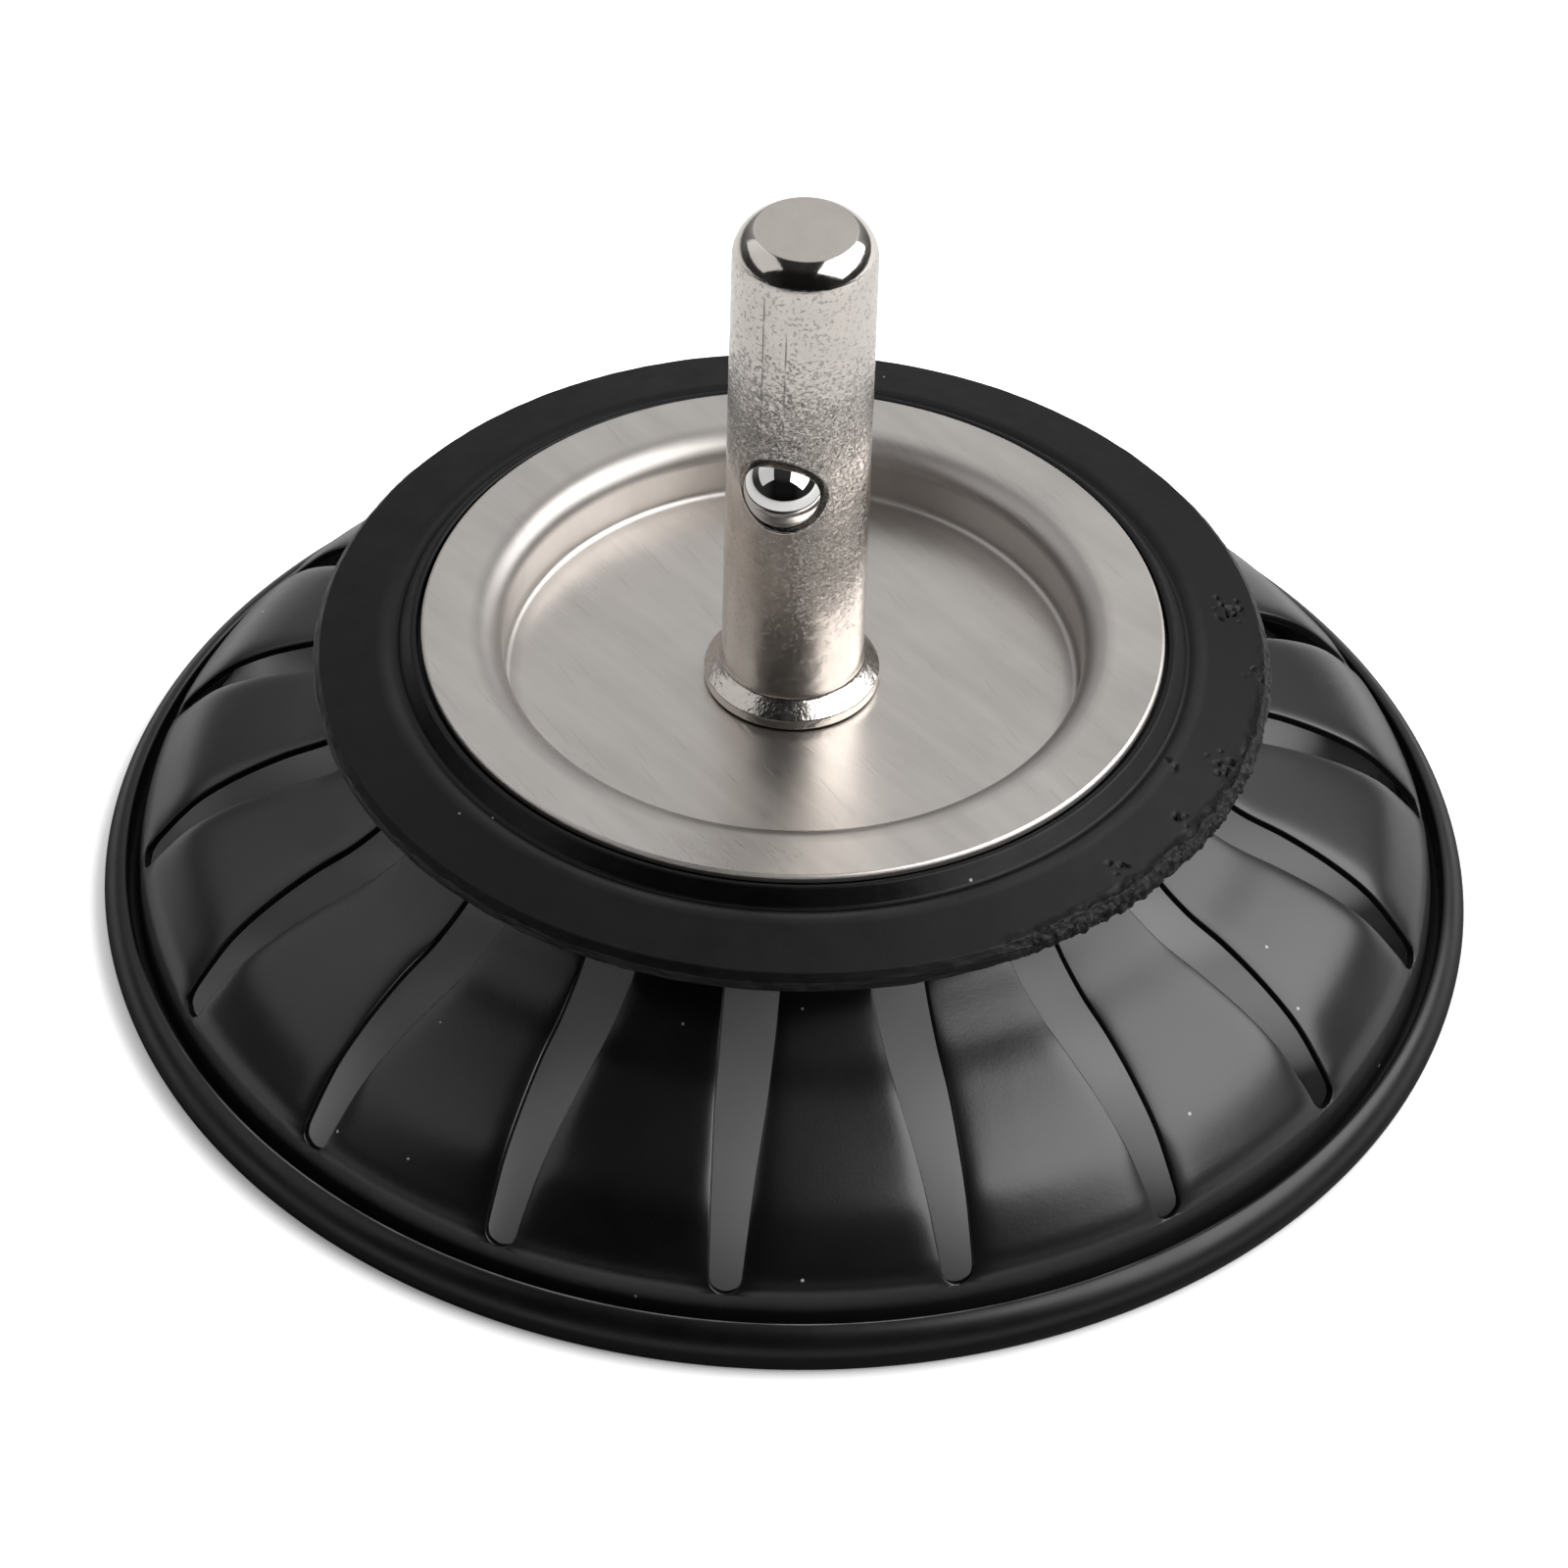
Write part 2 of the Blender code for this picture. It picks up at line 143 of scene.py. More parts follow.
def rounded(corners, steps=6, support=0.05):
    """Closed outline through (radius, height, corner radius), with a support point beside each arc."""
    points = []
    count = len(corners)
    for i, (r, z, size) in enumerate(corners):
        here = Vector((r, z))
        back = Vector(corners[i - 1][:2]) - here
        ahead = Vector(corners[(i + 1) % count][:2]) - here
        if size == 0:
            points.append(here)
            continue
        a, b = back.normalized(), ahead.normalized()
        half = a.angle(b) / 2
        reach = min(size / math.tan(half), 0.48 * back.length, 0.48 * ahead.length)
        start, end = here + a * reach, here + b * reach
        centre = here + (a + b).normalized() * (reach / math.cos(half))
        if back.length > 2.2 * reach + 2 * support:
            points.append(start + a * support)
        for k in range(steps + 1):
            t = k / steps
            arm = (start - centre).lerp(end - centre, 0.5 - 0.5 * math.cos(math.pi * t))
            points.append(centre + arm.normalized() * (start - centre).length)
        if ahead.length > 2.2 * reach + 2 * support:
            points.append(end + b * support)
    return [(p.x, p.y) for p in points]


def add_face(faces, corners):
    """Add a face without its repeated corners, unless it shrinks to a line."""
    corners = list(dict.fromkeys(corners))
    if len(corners) > 2:
        faces.append(corners)


def seam(faces, lower, upper):
    """Join two rings of as many vertices with faces."""
    for i in range(len(lower)):
        j = (i + 1) % len(lower)
        add_face(faces, (lower[i], lower[j], upper[j], upper[i]))


def arc(centre_r, centre_z, radius, start_deg, end_deg, steps):
    """Points along an arc in the (radius, height) plane."""
    turns = [math.radians(start_deg + (end_deg - start_deg) * k / steps) for k in range(steps + 1)]
    return [(centre_r + radius * math.cos(t), centre_z + radius * math.sin(t)) for t in turns]


def spread(outline, longest):
    """The closed outline with its long runs divided; longest gives the step at a radius."""
    points = []
    for (r0, z0), (r1, z1) in zip(outline, outline[1:] + outline[:1]):
        parts = max(1, math.ceil(math.hypot(r1 - r0, z1 - z0) / longest(max(r0, r1))))
        points += [(r0 + (r1 - r0) * k / parts, z0 + (z1 - z0) * k / parts) for k in range(parts)]
    return points


def turned(name, outline, segments=192, sharp_deg=40.0, shift=None):
    """Outline of (radius, height), clockwise seen with the axis on the left, revolved about Z.
    shift(radius, height, angle) may return a moved (radius, height)."""
    verts, rings, faces = [], [], []
    for r, z in outline:
        if r < 1e-6:
            verts.append((0.0, 0.0, z))
            rings.append([len(verts) - 1] * segments)
            continue
        ring = []
        for i in range(segments):
            a = 2 * math.pi * i / segments
            rr, zz = shift(r, z, a) if shift else (r, z)
            verts.append((rr * math.cos(a), rr * math.sin(a), zz))
            ring.append(len(verts) - 1)
        rings.append(ring)
    for lower, upper in zip(rings, rings[1:] + rings[:1]):
        seam(faces, lower, upper)
    ob = new_object(name, verts, faces, sharp_deg)
    face_outwards(ob)
    return ob


def face_outwards(ob):
    """Flip a closed mesh whose faces point in."""
    mesh = ob.data
    mesh.calc_loop_triangles()
    co = np.array([v.co for v in mesh.vertices])
    tri = np.array([t.vertices for t in mesh.loop_triangles])
    a, b, c = co[tri[:, 0]], co[tri[:, 1]], co[tri[:, 2]]
    if np.einsum("ij,ij->i", a, np.cross(b, c)).sum() < 0:
        mesh.flip_normals()


def smooth_line(columns, count):
    """Smooth curve through the rows of a table, sampled at count points, with its arc length first."""
    table = np.array(columns, float)
    tangents = np.gradient(table, axis=0)
    samples = []
    for k in range(len(table) - 1):
        for t in np.linspace(0, 1, 40, endpoint=False):
            h = (2 * t**3 - 3 * t**2 + 1, t**3 - 2 * t**2 + t, -2 * t**3 + 3 * t**2, t**3 - t**2)
            near, far = h[0] * table[k] + h[1] * tangents[k], h[2] * table[k + 1] + h[3] * tangents[k + 1]
            samples.append(near + far)
    samples.append(table[-1])
    samples = np.array(samples)
    steps = np.hypot(np.diff(samples[:, 0]), np.diff(samples[:, 1]))
    along = np.concatenate([[0], np.cumsum(steps)])
    marks = [along[40 * k] for k in range(len(table))]
    return along, samples, marks


# ---------------------------------------------------------------- materials

NICKEL_TINT = (1.0, 0.935, 0.87)
STEEL_TINT = (1.0, 0.945, 0.9)
BRUSH_DEG = -42.0                # direction of the dish's brush lines, from +X


class Nodes:
    """Short calls for building a node tree."""

    def __init__(self, tree):
        self.tree = tree

    def node(self, kind):
        return self.tree.nodes.new("ShaderNode" + kind)

    def join(self, value, socket):
        if isinstance(value, bpy.types.NodeSocket):
            self.tree.links.new(value, socket)
        else:
            socket.default_value = value

    def remap(self, value, *numbers, shape="LINEAR"):
        """Map a range to another; the numbers are low in, high in, low out and high out."""
        node = self.node("MapRange")
        node.interpolation_type = shape
        self.join(value, node.inputs["Value"])
        for name, number in zip(("From Min", "From Max", "To Min", "To Max"), numbers):
            node.inputs[name].default_value = number
        return node.outputs["Result"]

    def calc(self, a, b, operation):
        node = self.node("Math")
        node.operation = operation
        self.join(a, node.inputs[0])
        self.join(b, node.inputs[1])
        return node.outputs["Value"]

    def sum(self, a, b):
        return self.calc(a, b, "ADD")

    def times(self, a, b):
        return self.calc(a, b, "MULTIPLY")


class Paint(Nodes):
    """One material's nodes round its Principled BSDF."""

    def __init__(self, name, colour, roughness, metallic=0.0, specular=0.5):
        self.material = bpy.data.materials.new(name)
        self.material.use_nodes = True
        super().__init__(self.material.node_tree)
        self.shader = self.tree.nodes["Principled BSDF"]
        self.set("Base Color", (*colour, 1.0))
        self.set("Roughness", roughness)
        self.set("Metallic", metallic)
        self.set("Specular IOR Level", specular)
        self.place = self.node("TexCoord").outputs["Object"]

    def set(self, socket, value):
        self.shader.inputs[socket].default_value = value

    def stretched(self, scale, turn_deg=0.0):
        """Object coordinates turned about Z and then scaled along each axis."""
        turn = self.node("VectorRotate")
        turn.rotation_type = "Z_AXIS"
        self.join(self.place, turn.inputs["Vector"])
        turn.inputs["Angle"].default_value = math.radians(turn_deg)
        size = self.node("VectorMath")
        size.operation = "MULTIPLY"
        self.join(turn.outputs["Vector"], size.inputs[0])
        size.inputs[1].default_value = scale
        return size.outputs["Vector"]

    def noise(self, scale, detail=3.0, rough=0.5, where=None, distortion=0.0):
        node = self.node("TexNoise")
        self.join(where or self.place, node.inputs["Vector"])
        numbers = (scale, detail, rough, distortion)
        for name, number in zip(("Scale", "Detail", "Roughness", "Distortion"), numbers):
            node.inputs[name].default_value = number
        return node.outputs["Fac"]

    def cells(self, scale):
        node = self.node("TexVoronoi")
        self.join(self.place, node.inputs["Vector"])
        node.inputs["Scale"].default_value = scale
        return node.outputs["Distance"]

    def height(self):
        """Height in millimetres above the surface the plug stands on."""
        node = self.node("SeparateXYZ")
        self.join(self.place, node.inputs[0])
        return self.times(node.outputs["Z"], 1 / MM)

    def radius(self):
        """Distance in millimetres from the plug's axis."""
        flat = self.node("VectorMath")
        flat.operation = "LENGTH"
        self.join(self.stretched((1 / MM, 1 / MM, 0)), flat.inputs[0])
        return flat.outputs["Value"]

    def turn(self):
        """Degrees round the plug's axis, from -Y towards +X."""
        node = self.node("SeparateXYZ")
        self.join(self.place, node.inputs[0])
        front = self.times(node.outputs["Y"], -1.0)
        return self.times(self.calc(node.outputs["X"], front, "ARCTAN2"), math.degrees(1.0))

    def window(self, value, rise, start, stop, fall):
        """1 from start to stop, fading to 0 at rise and at fall."""
        return self.times(self.remap(value, rise, start, 0.0, 1.0), self.remap(value, stop, fall, 1.0, 0.0))

    def strokes(self, scale, width, gate):
        """Short curly lines wherever gate lets them through."""
        swirl = self.noise(scale, 1.0, 0.5, distortion=1.3)
        away = self.calc(self.calc(swirl, 0.5, "SUBTRACT"), 0.0, "ABSOLUTE")
        return self.times(self.remap(away, 0.0, width, 1.0, 0.0), gate)

    def mix(self, factor, first, second):
        node = self.node("Mix")
        node.data_type = "RGBA"
        self.join(factor, node.inputs["Factor"])
        self.join(first, node.inputs["A"])
        self.join(second, node.inputs["B"])
        return node.outputs["Result"]

    def bump(self, *layers):
        """Each layer is (height value, depth in millimetres)."""
        normal = None
        for value, depth in layers:
            node = self.node("Bump")
            node.inputs["Distance"].default_value = depth * MM
            self.join(value, node.inputs["Height"])
            if normal:
                self.join(normal, node.inputs["Normal"])
            normal = node.outputs["Normal"]
        self.join(normal, self.shader.inputs["Normal"])

    def use(self, socket, value):
        self.join(value, self.shader.inputs[socket])


def grey(level, tint=(1.0, 1.0, 1.0)):
    return (level * tint[0], level * tint[1], level * tint[2], 1.0)


def dust(paint, base, speck, sparse):
    """Base colour with a few pale specks of dust."""
    dots = paint.cells(420.0)
    rare = paint.noise(95.0, 2.0)
    dot = paint.remap(dots, 0.032, 0.052, 1.0, 0.0)
    spot = paint.times(dot, paint.remap(rare, sparse, sparse + 0.02, 0.0, 1.0))
    return paint.mix(spot, base, speck)


def black_coating():
    p = Paint("satin_black_coating", (0.003, 0.003, 0.003), 0.25, specular=0.62)
    cloud = p.noise(160.0, 4.0, 0.6)
    base = p.mix(p.remap(cloud, 0.35, 0.7, 0.0, 1.0), grey(0.0012), grey(0.0045, (1.0, 0.94, 1.06)))
    p.use("Base Color", dust(p, base, grey(0.45, (1.0, 0.97, 0.92)), 0.53))
    smear = p.noise(60.0, 3.0, 0.55, p.stretched((1, 1, 0.4)))
    fold = p.remap(p.height(), 3.0, 4.4, 0.25, 0.0)
    p.use("Roughness", p.sum(p.remap(smear, 0.3, 0.75, 0.26, 0.35), fold))
    p.bump((p.noise(5200.0, 2.0), 0.004), (p.noise(900.0, 3.0), 0.006))
    return p.material


def cut_edge_black():
    """Dull, unpolished coating on the cut faces of the slots."""
    p = Paint("cut_edge_black", (0.0015, 0.0015, 0.0015), 0.6, specular=0.12)
    p.use("Base Color", p.mix(p.noise(900.0, 3.0), grey(0.0008), grey(0.002)))
    p.use("Roughness", p.remap(p.noise(1500.0, 3.0), 0.3, 0.7, 0.55, 0.7))
    p.bump((p.noise(2400.0, 3.0), 0.01))
    return p.material


def rim_plastic():
    p = Paint("satin_black_rim", (0.0015, 0.0015, 0.0015), 0.26, specular=0.45)
    cloud = p.noise(120.0, 3.0)
    base = dust(p, p.mix(cloud, grey(0.001), grey(0.0022)), grey(0.25), 0.60)
    # Painted highlight: a thin pale line along the crest of the bore, on the front of the ring only.
    crest = p.window(p.radius(), *[RIM_BORE + d for d in (0.0, 0.06, 0.18, RIM_CREST)])
    painted_bore_highlight = p.times(crest, p.window(p.turn(), -75.0, -45.0, 10.0, 45.0))
    painted_bore_highlight = p.times(painted_bore_highlight, p.remap(p.height(), RIM_HEIGHT - 0.4, RIM_HEIGHT - 0.2, 0.0, 1.0))
    painted_bore_highlight = p.times(painted_bore_highlight, p.remap(p.noise(300.0, 3.0), 0.3, 0.6, 0.35, 1.0))
    p.use("Base Color", p.mix(painted_bore_highlight, base, grey(0.26)))
    p.use("Roughness", p.remap(p.noise(250.0, 4.0, 0.6), 0.3, 0.7, 0.31, 0.40))
    p.bump((p.noise(4200.0, 2.0), 0.004), (p.noise(700.0, 2.0), 0.006))
    return p.material


def seal_rubber():
    p = Paint("black_rubber", (0.003, 0.003, 0.003), 0.46, specular=0.22)
    cloud = p.noise(210.0, 5.0, 0.62)
    base = p.mix(p.remap(cloud, 0.3, 0.72, 0.0, 1.0), grey(0.0014), grey(0.0030, (1.0, 1.0, 1.06)))
    torn = p.times(p.window(p.turn(), 24.0, 34.0, 84.0, 104.0), p.remap(p.radius(), 28.1, 28.5, 0.0, 1.0))
    crumb = p.noise(2600.0, 3.0, 0.6, distortion=0.6)
    pale = p.times(p.remap(crumb, 0.54, 0.66, 0.0, 0.9), torn)
    base = p.mix(pale, base, grey(0.030))
    # Painted highlight: a soft pale band along the crest past the bead, on the front and sides only.
    painted_crest_sheen = p.window(p.radius(), 24.1, 24.4, 24.6, 25.2)
    painted_crest_sheen = p.times(painted_crest_sheen, p.window(p.turn(), -110.0, -70.0, 80.0, 110.0))
    painted_crest_sheen = p.times(painted_crest_sheen, p.remap(p.noise(140.0, 3.0), 0.3, 0.65, 0.45, 1.0))
    base = p.mix(painted_crest_sheen, base, grey(0.021, (1.0, 1.0, 1.04)))
    p.use("Base Color", dust(p, base, grey(0.40, (1.0, 0.96, 0.9)), 0.51))
    groove = p.window(p.radius(), 22.8, 22.95, 24.7, 25.1)
    groove = p.times(groove, p.window(p.turn(), -110.0, -80.0, 10.0, 40.0))
    skin = p.remap(p.noise(480.0, 4.0, 0.6), 0.3, 0.7, 0.40, 0.52)
    p.use("Roughness", p.sum(skin, p.times(groove, -0.16)))
    rough = p.times(crumb, torn)
    p.bump((p.noise(6400.0, 3.0, 0.6), 0.006), (p.noise(1300.0, 3.0), 0.008), (rough, 0.12))
    return p.material


def brushed_steel():
    p = Paint("brushed_steel", (0.64, 0.62, 0.60), 0.30, 1.0)
    fine = p.noise(1.0, 3.0, 0.55, p.stretched((9000, 420, 420), BRUSH_DEG))
    broad = p.noise(1.0, 2.0, 0.5, p.stretched((700, 90, 90), BRUSH_DEG))
    cloud = p.noise(110.0, 3.0, 0.5)
    lone = p.noise(1.0, 0.0, 0.5, p.stretched((3400, 210, 210), BRUSH_DEG + 9.0))
    scratch = p.remap(lone, 0.76, 0.80, 0.0, 1.0)
    blend = p.sum(p.times(fine, 0.5), p.sum(broad, cloud))
    tone = p.mix(p.remap(blend, 0.9, 1.6, 0.0, 1.0), grey(0.55, STEEL_TINT), grey(0.67, STEEL_TINT))
    rolled = p.window(p.radius(), *[RECESS_RADIUS + d for d in (-1.2, -0.2, 1.2, 2.0)])
    edge = p.remap(p.radius(), DISH_RADIUS - 0.16, DISH_RADIUS - 0.06, 0.0, 1.0)
    tone = p.mix(p.times(scratch, 0.14), tone, grey(0.3))
    # Painted shade: the recess wall and its corner radii are darkened; the same band is also made rougher.
    tone = p.mix(p.times(rolled, 0.62), tone, grey(0.33, STEEL_TINT))
    # Painted highlight: the cut edge is given a paler colour so it shows a bright line; it is also rougher.
    p.use("Base Color", p.mix(edge, tone, grey(0.75, STEEL_TINT)))
    dull = p.sum(p.times(edge, 0.2), p.times(rolled, 0.11))
    p.use("Roughness", p.sum(p.remap(p.sum(fine, cloud), 0.7, 1.3, 0.27, 0.34), dull))
    p.bump((fine, 0.006), (broad, 0.002), (cloud, 0.02), (scratch, -0.003))
    return p.material


def scored(paint, where, low_end, high_end):
    """One fine upright score in the spindle, at an angle in degrees and between two heights."""
    wander = paint.times(paint.noise(260.0, 2.0), 1.6)          # 0.8 on average
    away = paint.calc(paint.calc(paint.sum(paint.turn(), wander), where + 0.8, "SUBTRACT"), 0.0, "ABSOLUTE")
    length = paint.window(paint.height(), low_end, low_end + 1.0, high_end - 1.0, high_end)
    broken = paint.remap(paint.noise(900.0, 2.0), 0.38, 0.52, 0.25, 1.0)
    return paint.times(paint.times(paint.remap(away, 0.2, 1.0, 1.0, 0.0), length), broken)


def nickel_plate():
    p = Paint("nickel_plate", (0.66, 0.63, 0.60), 0.22, 1.0)
    up, turn, loose = p.height(), p.turn(), p.noise(330.0, 3.0, 0.6)
    ragged = p.sum(up, p.times(loose, 6.0))
    band = p.window(ragged, 37.5, 40.0, 43.0, 48.0)
    beside = p.times(p.window(turn, -8.0, 12.0, 55.0, 75.0), p.window(ragged, 27.0, 30.0, 38.0, 41.0))
    busy = p.calc(band, beside, "MAXIMUM")
    shoulder = p.times(p.remap(up, SPINDLE_TOP - 1.29, SPINDLE_TOP - 1.22, 0.0, 1.0),
                       p.remap(p.radius(), SHOULDER_INNER - 0.05, SHOULDER_INNER, 0.0, 1.0))
    shaft = p.times(p.remap(up, 19.4, 22.0, 0.35, 1.0), p.calc(1.0, shoulder, "SUBTRACT"))
    level = p.sum(p.noise(3700.0, 1.0), p.times(busy, 0.22))
    top_face = p.remap(up, SPINDLE_TOP - 0.05, SPINDLE_TOP - 0.01, 1.0, 0.25)
    gate = p.times(p.remap(level, 0.57, 0.61, 0.0, 1.0), p.times(shaft, top_face))
    curls = p.calc(p.strokes(2700.0, 0.05, gate), p.strokes(3900.0, 0.05, gate), "MAXIMUM")
    curls = p.times(curls, p.times(p.remap(busy, 0.0, 1.0, 0.28, 1.0), p.remap(up, 22.0, 32.0, 0.35, 1.0)))
    scores = p.calc(scored(p, -32.4, 39.3, 49.6), scored(p, -13.0, 40.7, 47.2), "MAXIMUM")
    marks = p.calc(curls, p.times(scores, 0.85), "MAXIMUM")
    stain = p.remap(p.noise(420.0, 4.0, 0.65), 0.45, 0.75, 0.0, 0.5)
    tone = p.mix(stain, grey(0.66, NICKEL_TINT), grey(0.57, NICKEL_TINT))
    # Painted shade: the foot of the shaft is darkened on its right-hand side.
    foot = p.times(p.window(turn, 5.0, 25.0, 75.0, 95.0), p.remap(up, 27.0, 31.0, 0.6, 0.0))
    tone = p.mix(foot, tone, grey(0.44, NICKEL_TINT))
    tone = p.mix(shoulder, tone, grey(0.70, NICKEL_TINT))
    p.use("Base Color", p.mix(p.times(marks, 0.9), tone, grey(0.045)))
    skin = p.remap(p.noise(900.0, 4.0, 0.6), 0.3, 0.7, 0.15, 0.25)
    flat = p.remap(up, SPINDLE_TOP - 0.05, SPINDLE_TOP - 0.01, 0.0, 0.12)
    p.use("Roughness", p.sum(p.sum(skin, p.times(shoulder, -0.09)), flat))
    coarse = p.times(p.remap(busy, 0.0, 1.0, 0.4, 1.0), top_face)
    grain = p.times(p.noise(3000.0, 2.0, 0.5), p.times(shaft, coarse))
    grain = p.times(grain, p.remap(up, 22.0, 32.0, 0.35, 1.0))
    scuff = p.times(p.noise(1500.0, 3.0, 0.6), p.remap(up, 19.0, 19.4, 1.0, 0.0))
    p.bump((grain, 0.036), (marks, -0.035), (scuff, 0.07), (p.noise(2600.0, 2.0), 0.005))
    return p.material


def ball_chrome():
    p = Paint("polished_ball", (0.80, 0.79, 0.78), 0.04, 1.0)
    haze = p.noise(700.0, 4.0, 0.6)
    p.use("Roughness", p.remap(haze, 0.35, 0.75, 0.02, 0.07))
    p.use("Base Color", p.mix(haze, grey(0.76, (1, 0.985, 0.97)), grey(0.66, (1, 0.985, 0.97))))
    p.bump((p.noise(2500.0, 2.0), 0.0006))
    return p.material


def turned_metal(name, colour, roughness):
    """Lathe-turned metal for the fixings: fine rings about the axis."""
    p = Paint(name, colour, roughness, 1.0)
    rings = p.noise(1.0, 3.0, 0.6, p.stretched((300, 300, 9000)))
    tone = p.mix(p.noise(400.0, 3.0), (*[c * 0.82 for c in colour], 1.0), (*colour, 1.0))
    p.use("Base Color", tone)
    p.use("Roughness", p.remap(rings, 0.3, 0.7, roughness * 0.75, roughness * 1.3))
    p.bump((rings, 0.006))
    return p.material


# ---------------------------------------------------------------- pieces

def make_basket():
    """Basket with swollen petals, softened slot edges, an even wall and a thin flange."""
    along, line, marks = smooth_line(WALL_LINE, 40)
    tip = marks[SLOT_END_ROW]
    arc_start = tip - SLOT_END_RADIUS
    end = along[-1]

    def at(u):
        return [np.interp(u, along, line[:, c]) for c in range(4)]

    def normal_at(u):
        r0, z0 = at(max(u - 0.05, 0))[:2]
        r1, z1 = at(min(u + 0.05, end))[:2]
        size = math.hypot(r1 - r0, z1 - z0)
        return (z0 - z1) / size, (r1 - r0) / size

    def half_width(u):
        if u >= tip:
            return 0.0
        if u > arc_start:
            return math.sqrt(max(SLOT_END_RADIUS**2 - (u - arc_start) ** 2, 0.0))
        return at(u)[3] / 2

    def edge_gap(u, offset):
        """Distance along the surface from the slot's outline to a point offset from its centre line."""
        if u > arc_start:
            return math.hypot(u - arc_start, offset) - SLOT_END_RADIUS
        return offset - half_width(u)

    def drop(gap):
        """How far the softened edge falls below the skin."""
        if gap >= EDGE_ROUND:
            return 0.0
        return EDGE_ROUND - math.sqrt(EDGE_ROUND**2 - (EDGE_ROUND - max(gap, 0.0)) ** 2)

    body = list(np.linspace(0, arc_start, 46))
    end_turns = [math.radians(a) for a in (12, 24, 36, 48, 58, 67, 75, 82, 87)]
    round_end = [arc_start + SLOT_END_RADIUS * math.sin(a) for a in end_turns]
    past = [tip + d for d in (0.03, 0.07, 0.13, 0.25, 0.45, 0.75, 1.15, 1.6)]
    stations = body + round_end + [tip] + [u for u in past if u < end - 0.05] + [end]
    tip_row = stations.index(tip)
    near = [0.0, 0.02, 0.05, 0.09, 0.14, 0.28, 0.5, 0.8, 1.15, 1.6]     # columns' distances from a slot
    middle = 9                                                          # columns between those
    columns = 2 * len(near) + middle
    pitch = 2 * math.pi / SLOT_COUNT
    first = math.radians(FIRST_SLOT_DEG) - math.pi / 2

    def row_points(u, side):
        """One petal's row of (angle from the slot's centre line, radius, height) on a skin."""
        r, z, swell, _ = at(u)
        nr, nz = normal_at(u)
        half = half_width(u)
        past_tip = min(max((u - tip) / (end - tip), 0.0), 1.0)
        width = pitch * r
        offsets = [half + d for d in near]
        offsets += list(np.linspace(offsets[-1], width - offsets[-1], middle + 2)[1:-1])
        offsets += [width - half - d for d in reversed(near)]
        points = []
        for offset in offsets:
            across = 2 * (offset - half) / (width - 2 * half) - 1
            pillow = 1 - abs(across) ** PETAL_ROLL
            wave = 0.5 + 0.5 * math.cos(math.pi * across)
            facet = PETAL_FACET * (across**2 - abs(across) ** PETAL_ROLL) * min(u / 4, 1) * (1 - past_tip)
            out = swell * (pillow + (wave - pillow) * past_tip) + facet
            fall = drop(edge_gap(u, min(offset, width - offset)))
            level = out - fall if side > 0 else out - WALL + fall
            points.append((offset / r, r + level * nr, z + level * nz))
        return points

    verts, index, faces = [], {}, []

    def add(key, angle, r, z):
        verts.append((r * math.cos(angle), r * math.sin(angle), z))
        index[key] = len(verts) - 1

    last_row = len(stations) - 1
    for side in (1, -1):
        for row, u in enumerate(stations):
            points = row_points(u, side)
            for k in range(SLOT_COUNT):
                for c, (angle, r, z) in enumerate(points):
                    if row >= tip_row and c == columns - 1:
                        continue
                    add((side, row, k, c), first + k * pitch + angle, r, z)
            if row >= tip_row:
                for k in range(SLOT_COUNT):
                    index[side, row, k, columns - 1] = index[side, row, (k + 1) % SLOT_COUNT, 0]

    def quad(*keys):
        add_face(faces, [index[key] for key in keys])

    for side in (1, -1):
        for row in range(last_row):
            for k in range(SLOT_COUNT):
                for c in range(columns - 1):
                    here, below = (side, row, k), (side, row + 1, k)
                    quad((*here, c), (*here, c + 1), (*below, c + 1), (*below, c))
    cut_start = len(faces)
    for row in range(tip_row):
        for k in range(SLOT_COUNT):
            for c in (0, columns - 1):
                quad((1, row, k, c), (1, row + 1, k, c), (-1, row + 1, k, c), (-1, row, k, c))
    cut_end = len(faces)

    # The deck above the neck and the flange past the rim are rings. They meet the first and last rows.
    def ring_at(row, side):
        """Vertices all the way round at one row of the petals."""
        return [index[side, row, k, c] for k in range(SLOT_COUNT) for c in range(columns)]

    def ring_like(source, r, z):
        """A ring of vertices at the same angles as source, at one radius and height."""
        ring = []
        made = {}
        for v in source:
            if v not in made:
                a = math.atan2(verts[v][1], verts[v][0])
                verts.append((r * math.cos(a), r * math.sin(a), z))
                made[v] = len(verts) - 1
            ring.append(made[v])
        return ring

    deck = [(24.22, 16.12), (24.05, 16.32), (23.8, 16.44), (23.5, DECK_TOP), (20.0, DECK_TOP)]
    deck += [(12.0, DECK_TOP), (3.3, DECK_TOP)]
    under = [(23.75, 15.88), (23.6, 15.97), (23.3, 16.0), (20.0, 16.0), (12.0, 16.0), (3.3, 16.0)]
    top_ring = ring_at(0, 1)
    previous = top_ring
    for r, z in deck:
        ring = ring_like(top_ring, r, z)
        seam(faces, previous, ring)
        previous = ring
    bore_top = previous
    low_ring = ring_at(0, -1)
    previous = low_ring
    for r, z in under:
        ring = ring_like(low_ring, r, z)
        seam(faces, previous, ring)
        previous = ring
    seam(faces, bore_top, previous)
    for k in range(SLOT_COUNT):                       # straight inner ends of the slots
        following = (k + 1) % SLOT_COUNT
        quad((1, 0, k, columns - 1), (1, 0, following, 0), (-1, 0, following, 0), (-1, 0, k, columns - 1))
    flange = [(39.86, 1.62), (40.0, 1.44), (40.3, 1.37), (BASKET_RADIUS - 0.1, 1.35), (BASKET_RADIUS, 1.25),
              (BASKET_RADIUS, 0.85), (BASKET_RADIUS - 0.1, 0.75), (39.9, 0.75), (39.5, 0.85), (39.33, 1.15)]
    last_ring = ring_at(last_row, 1)
    previous = last_ring
    for r, z in flange:
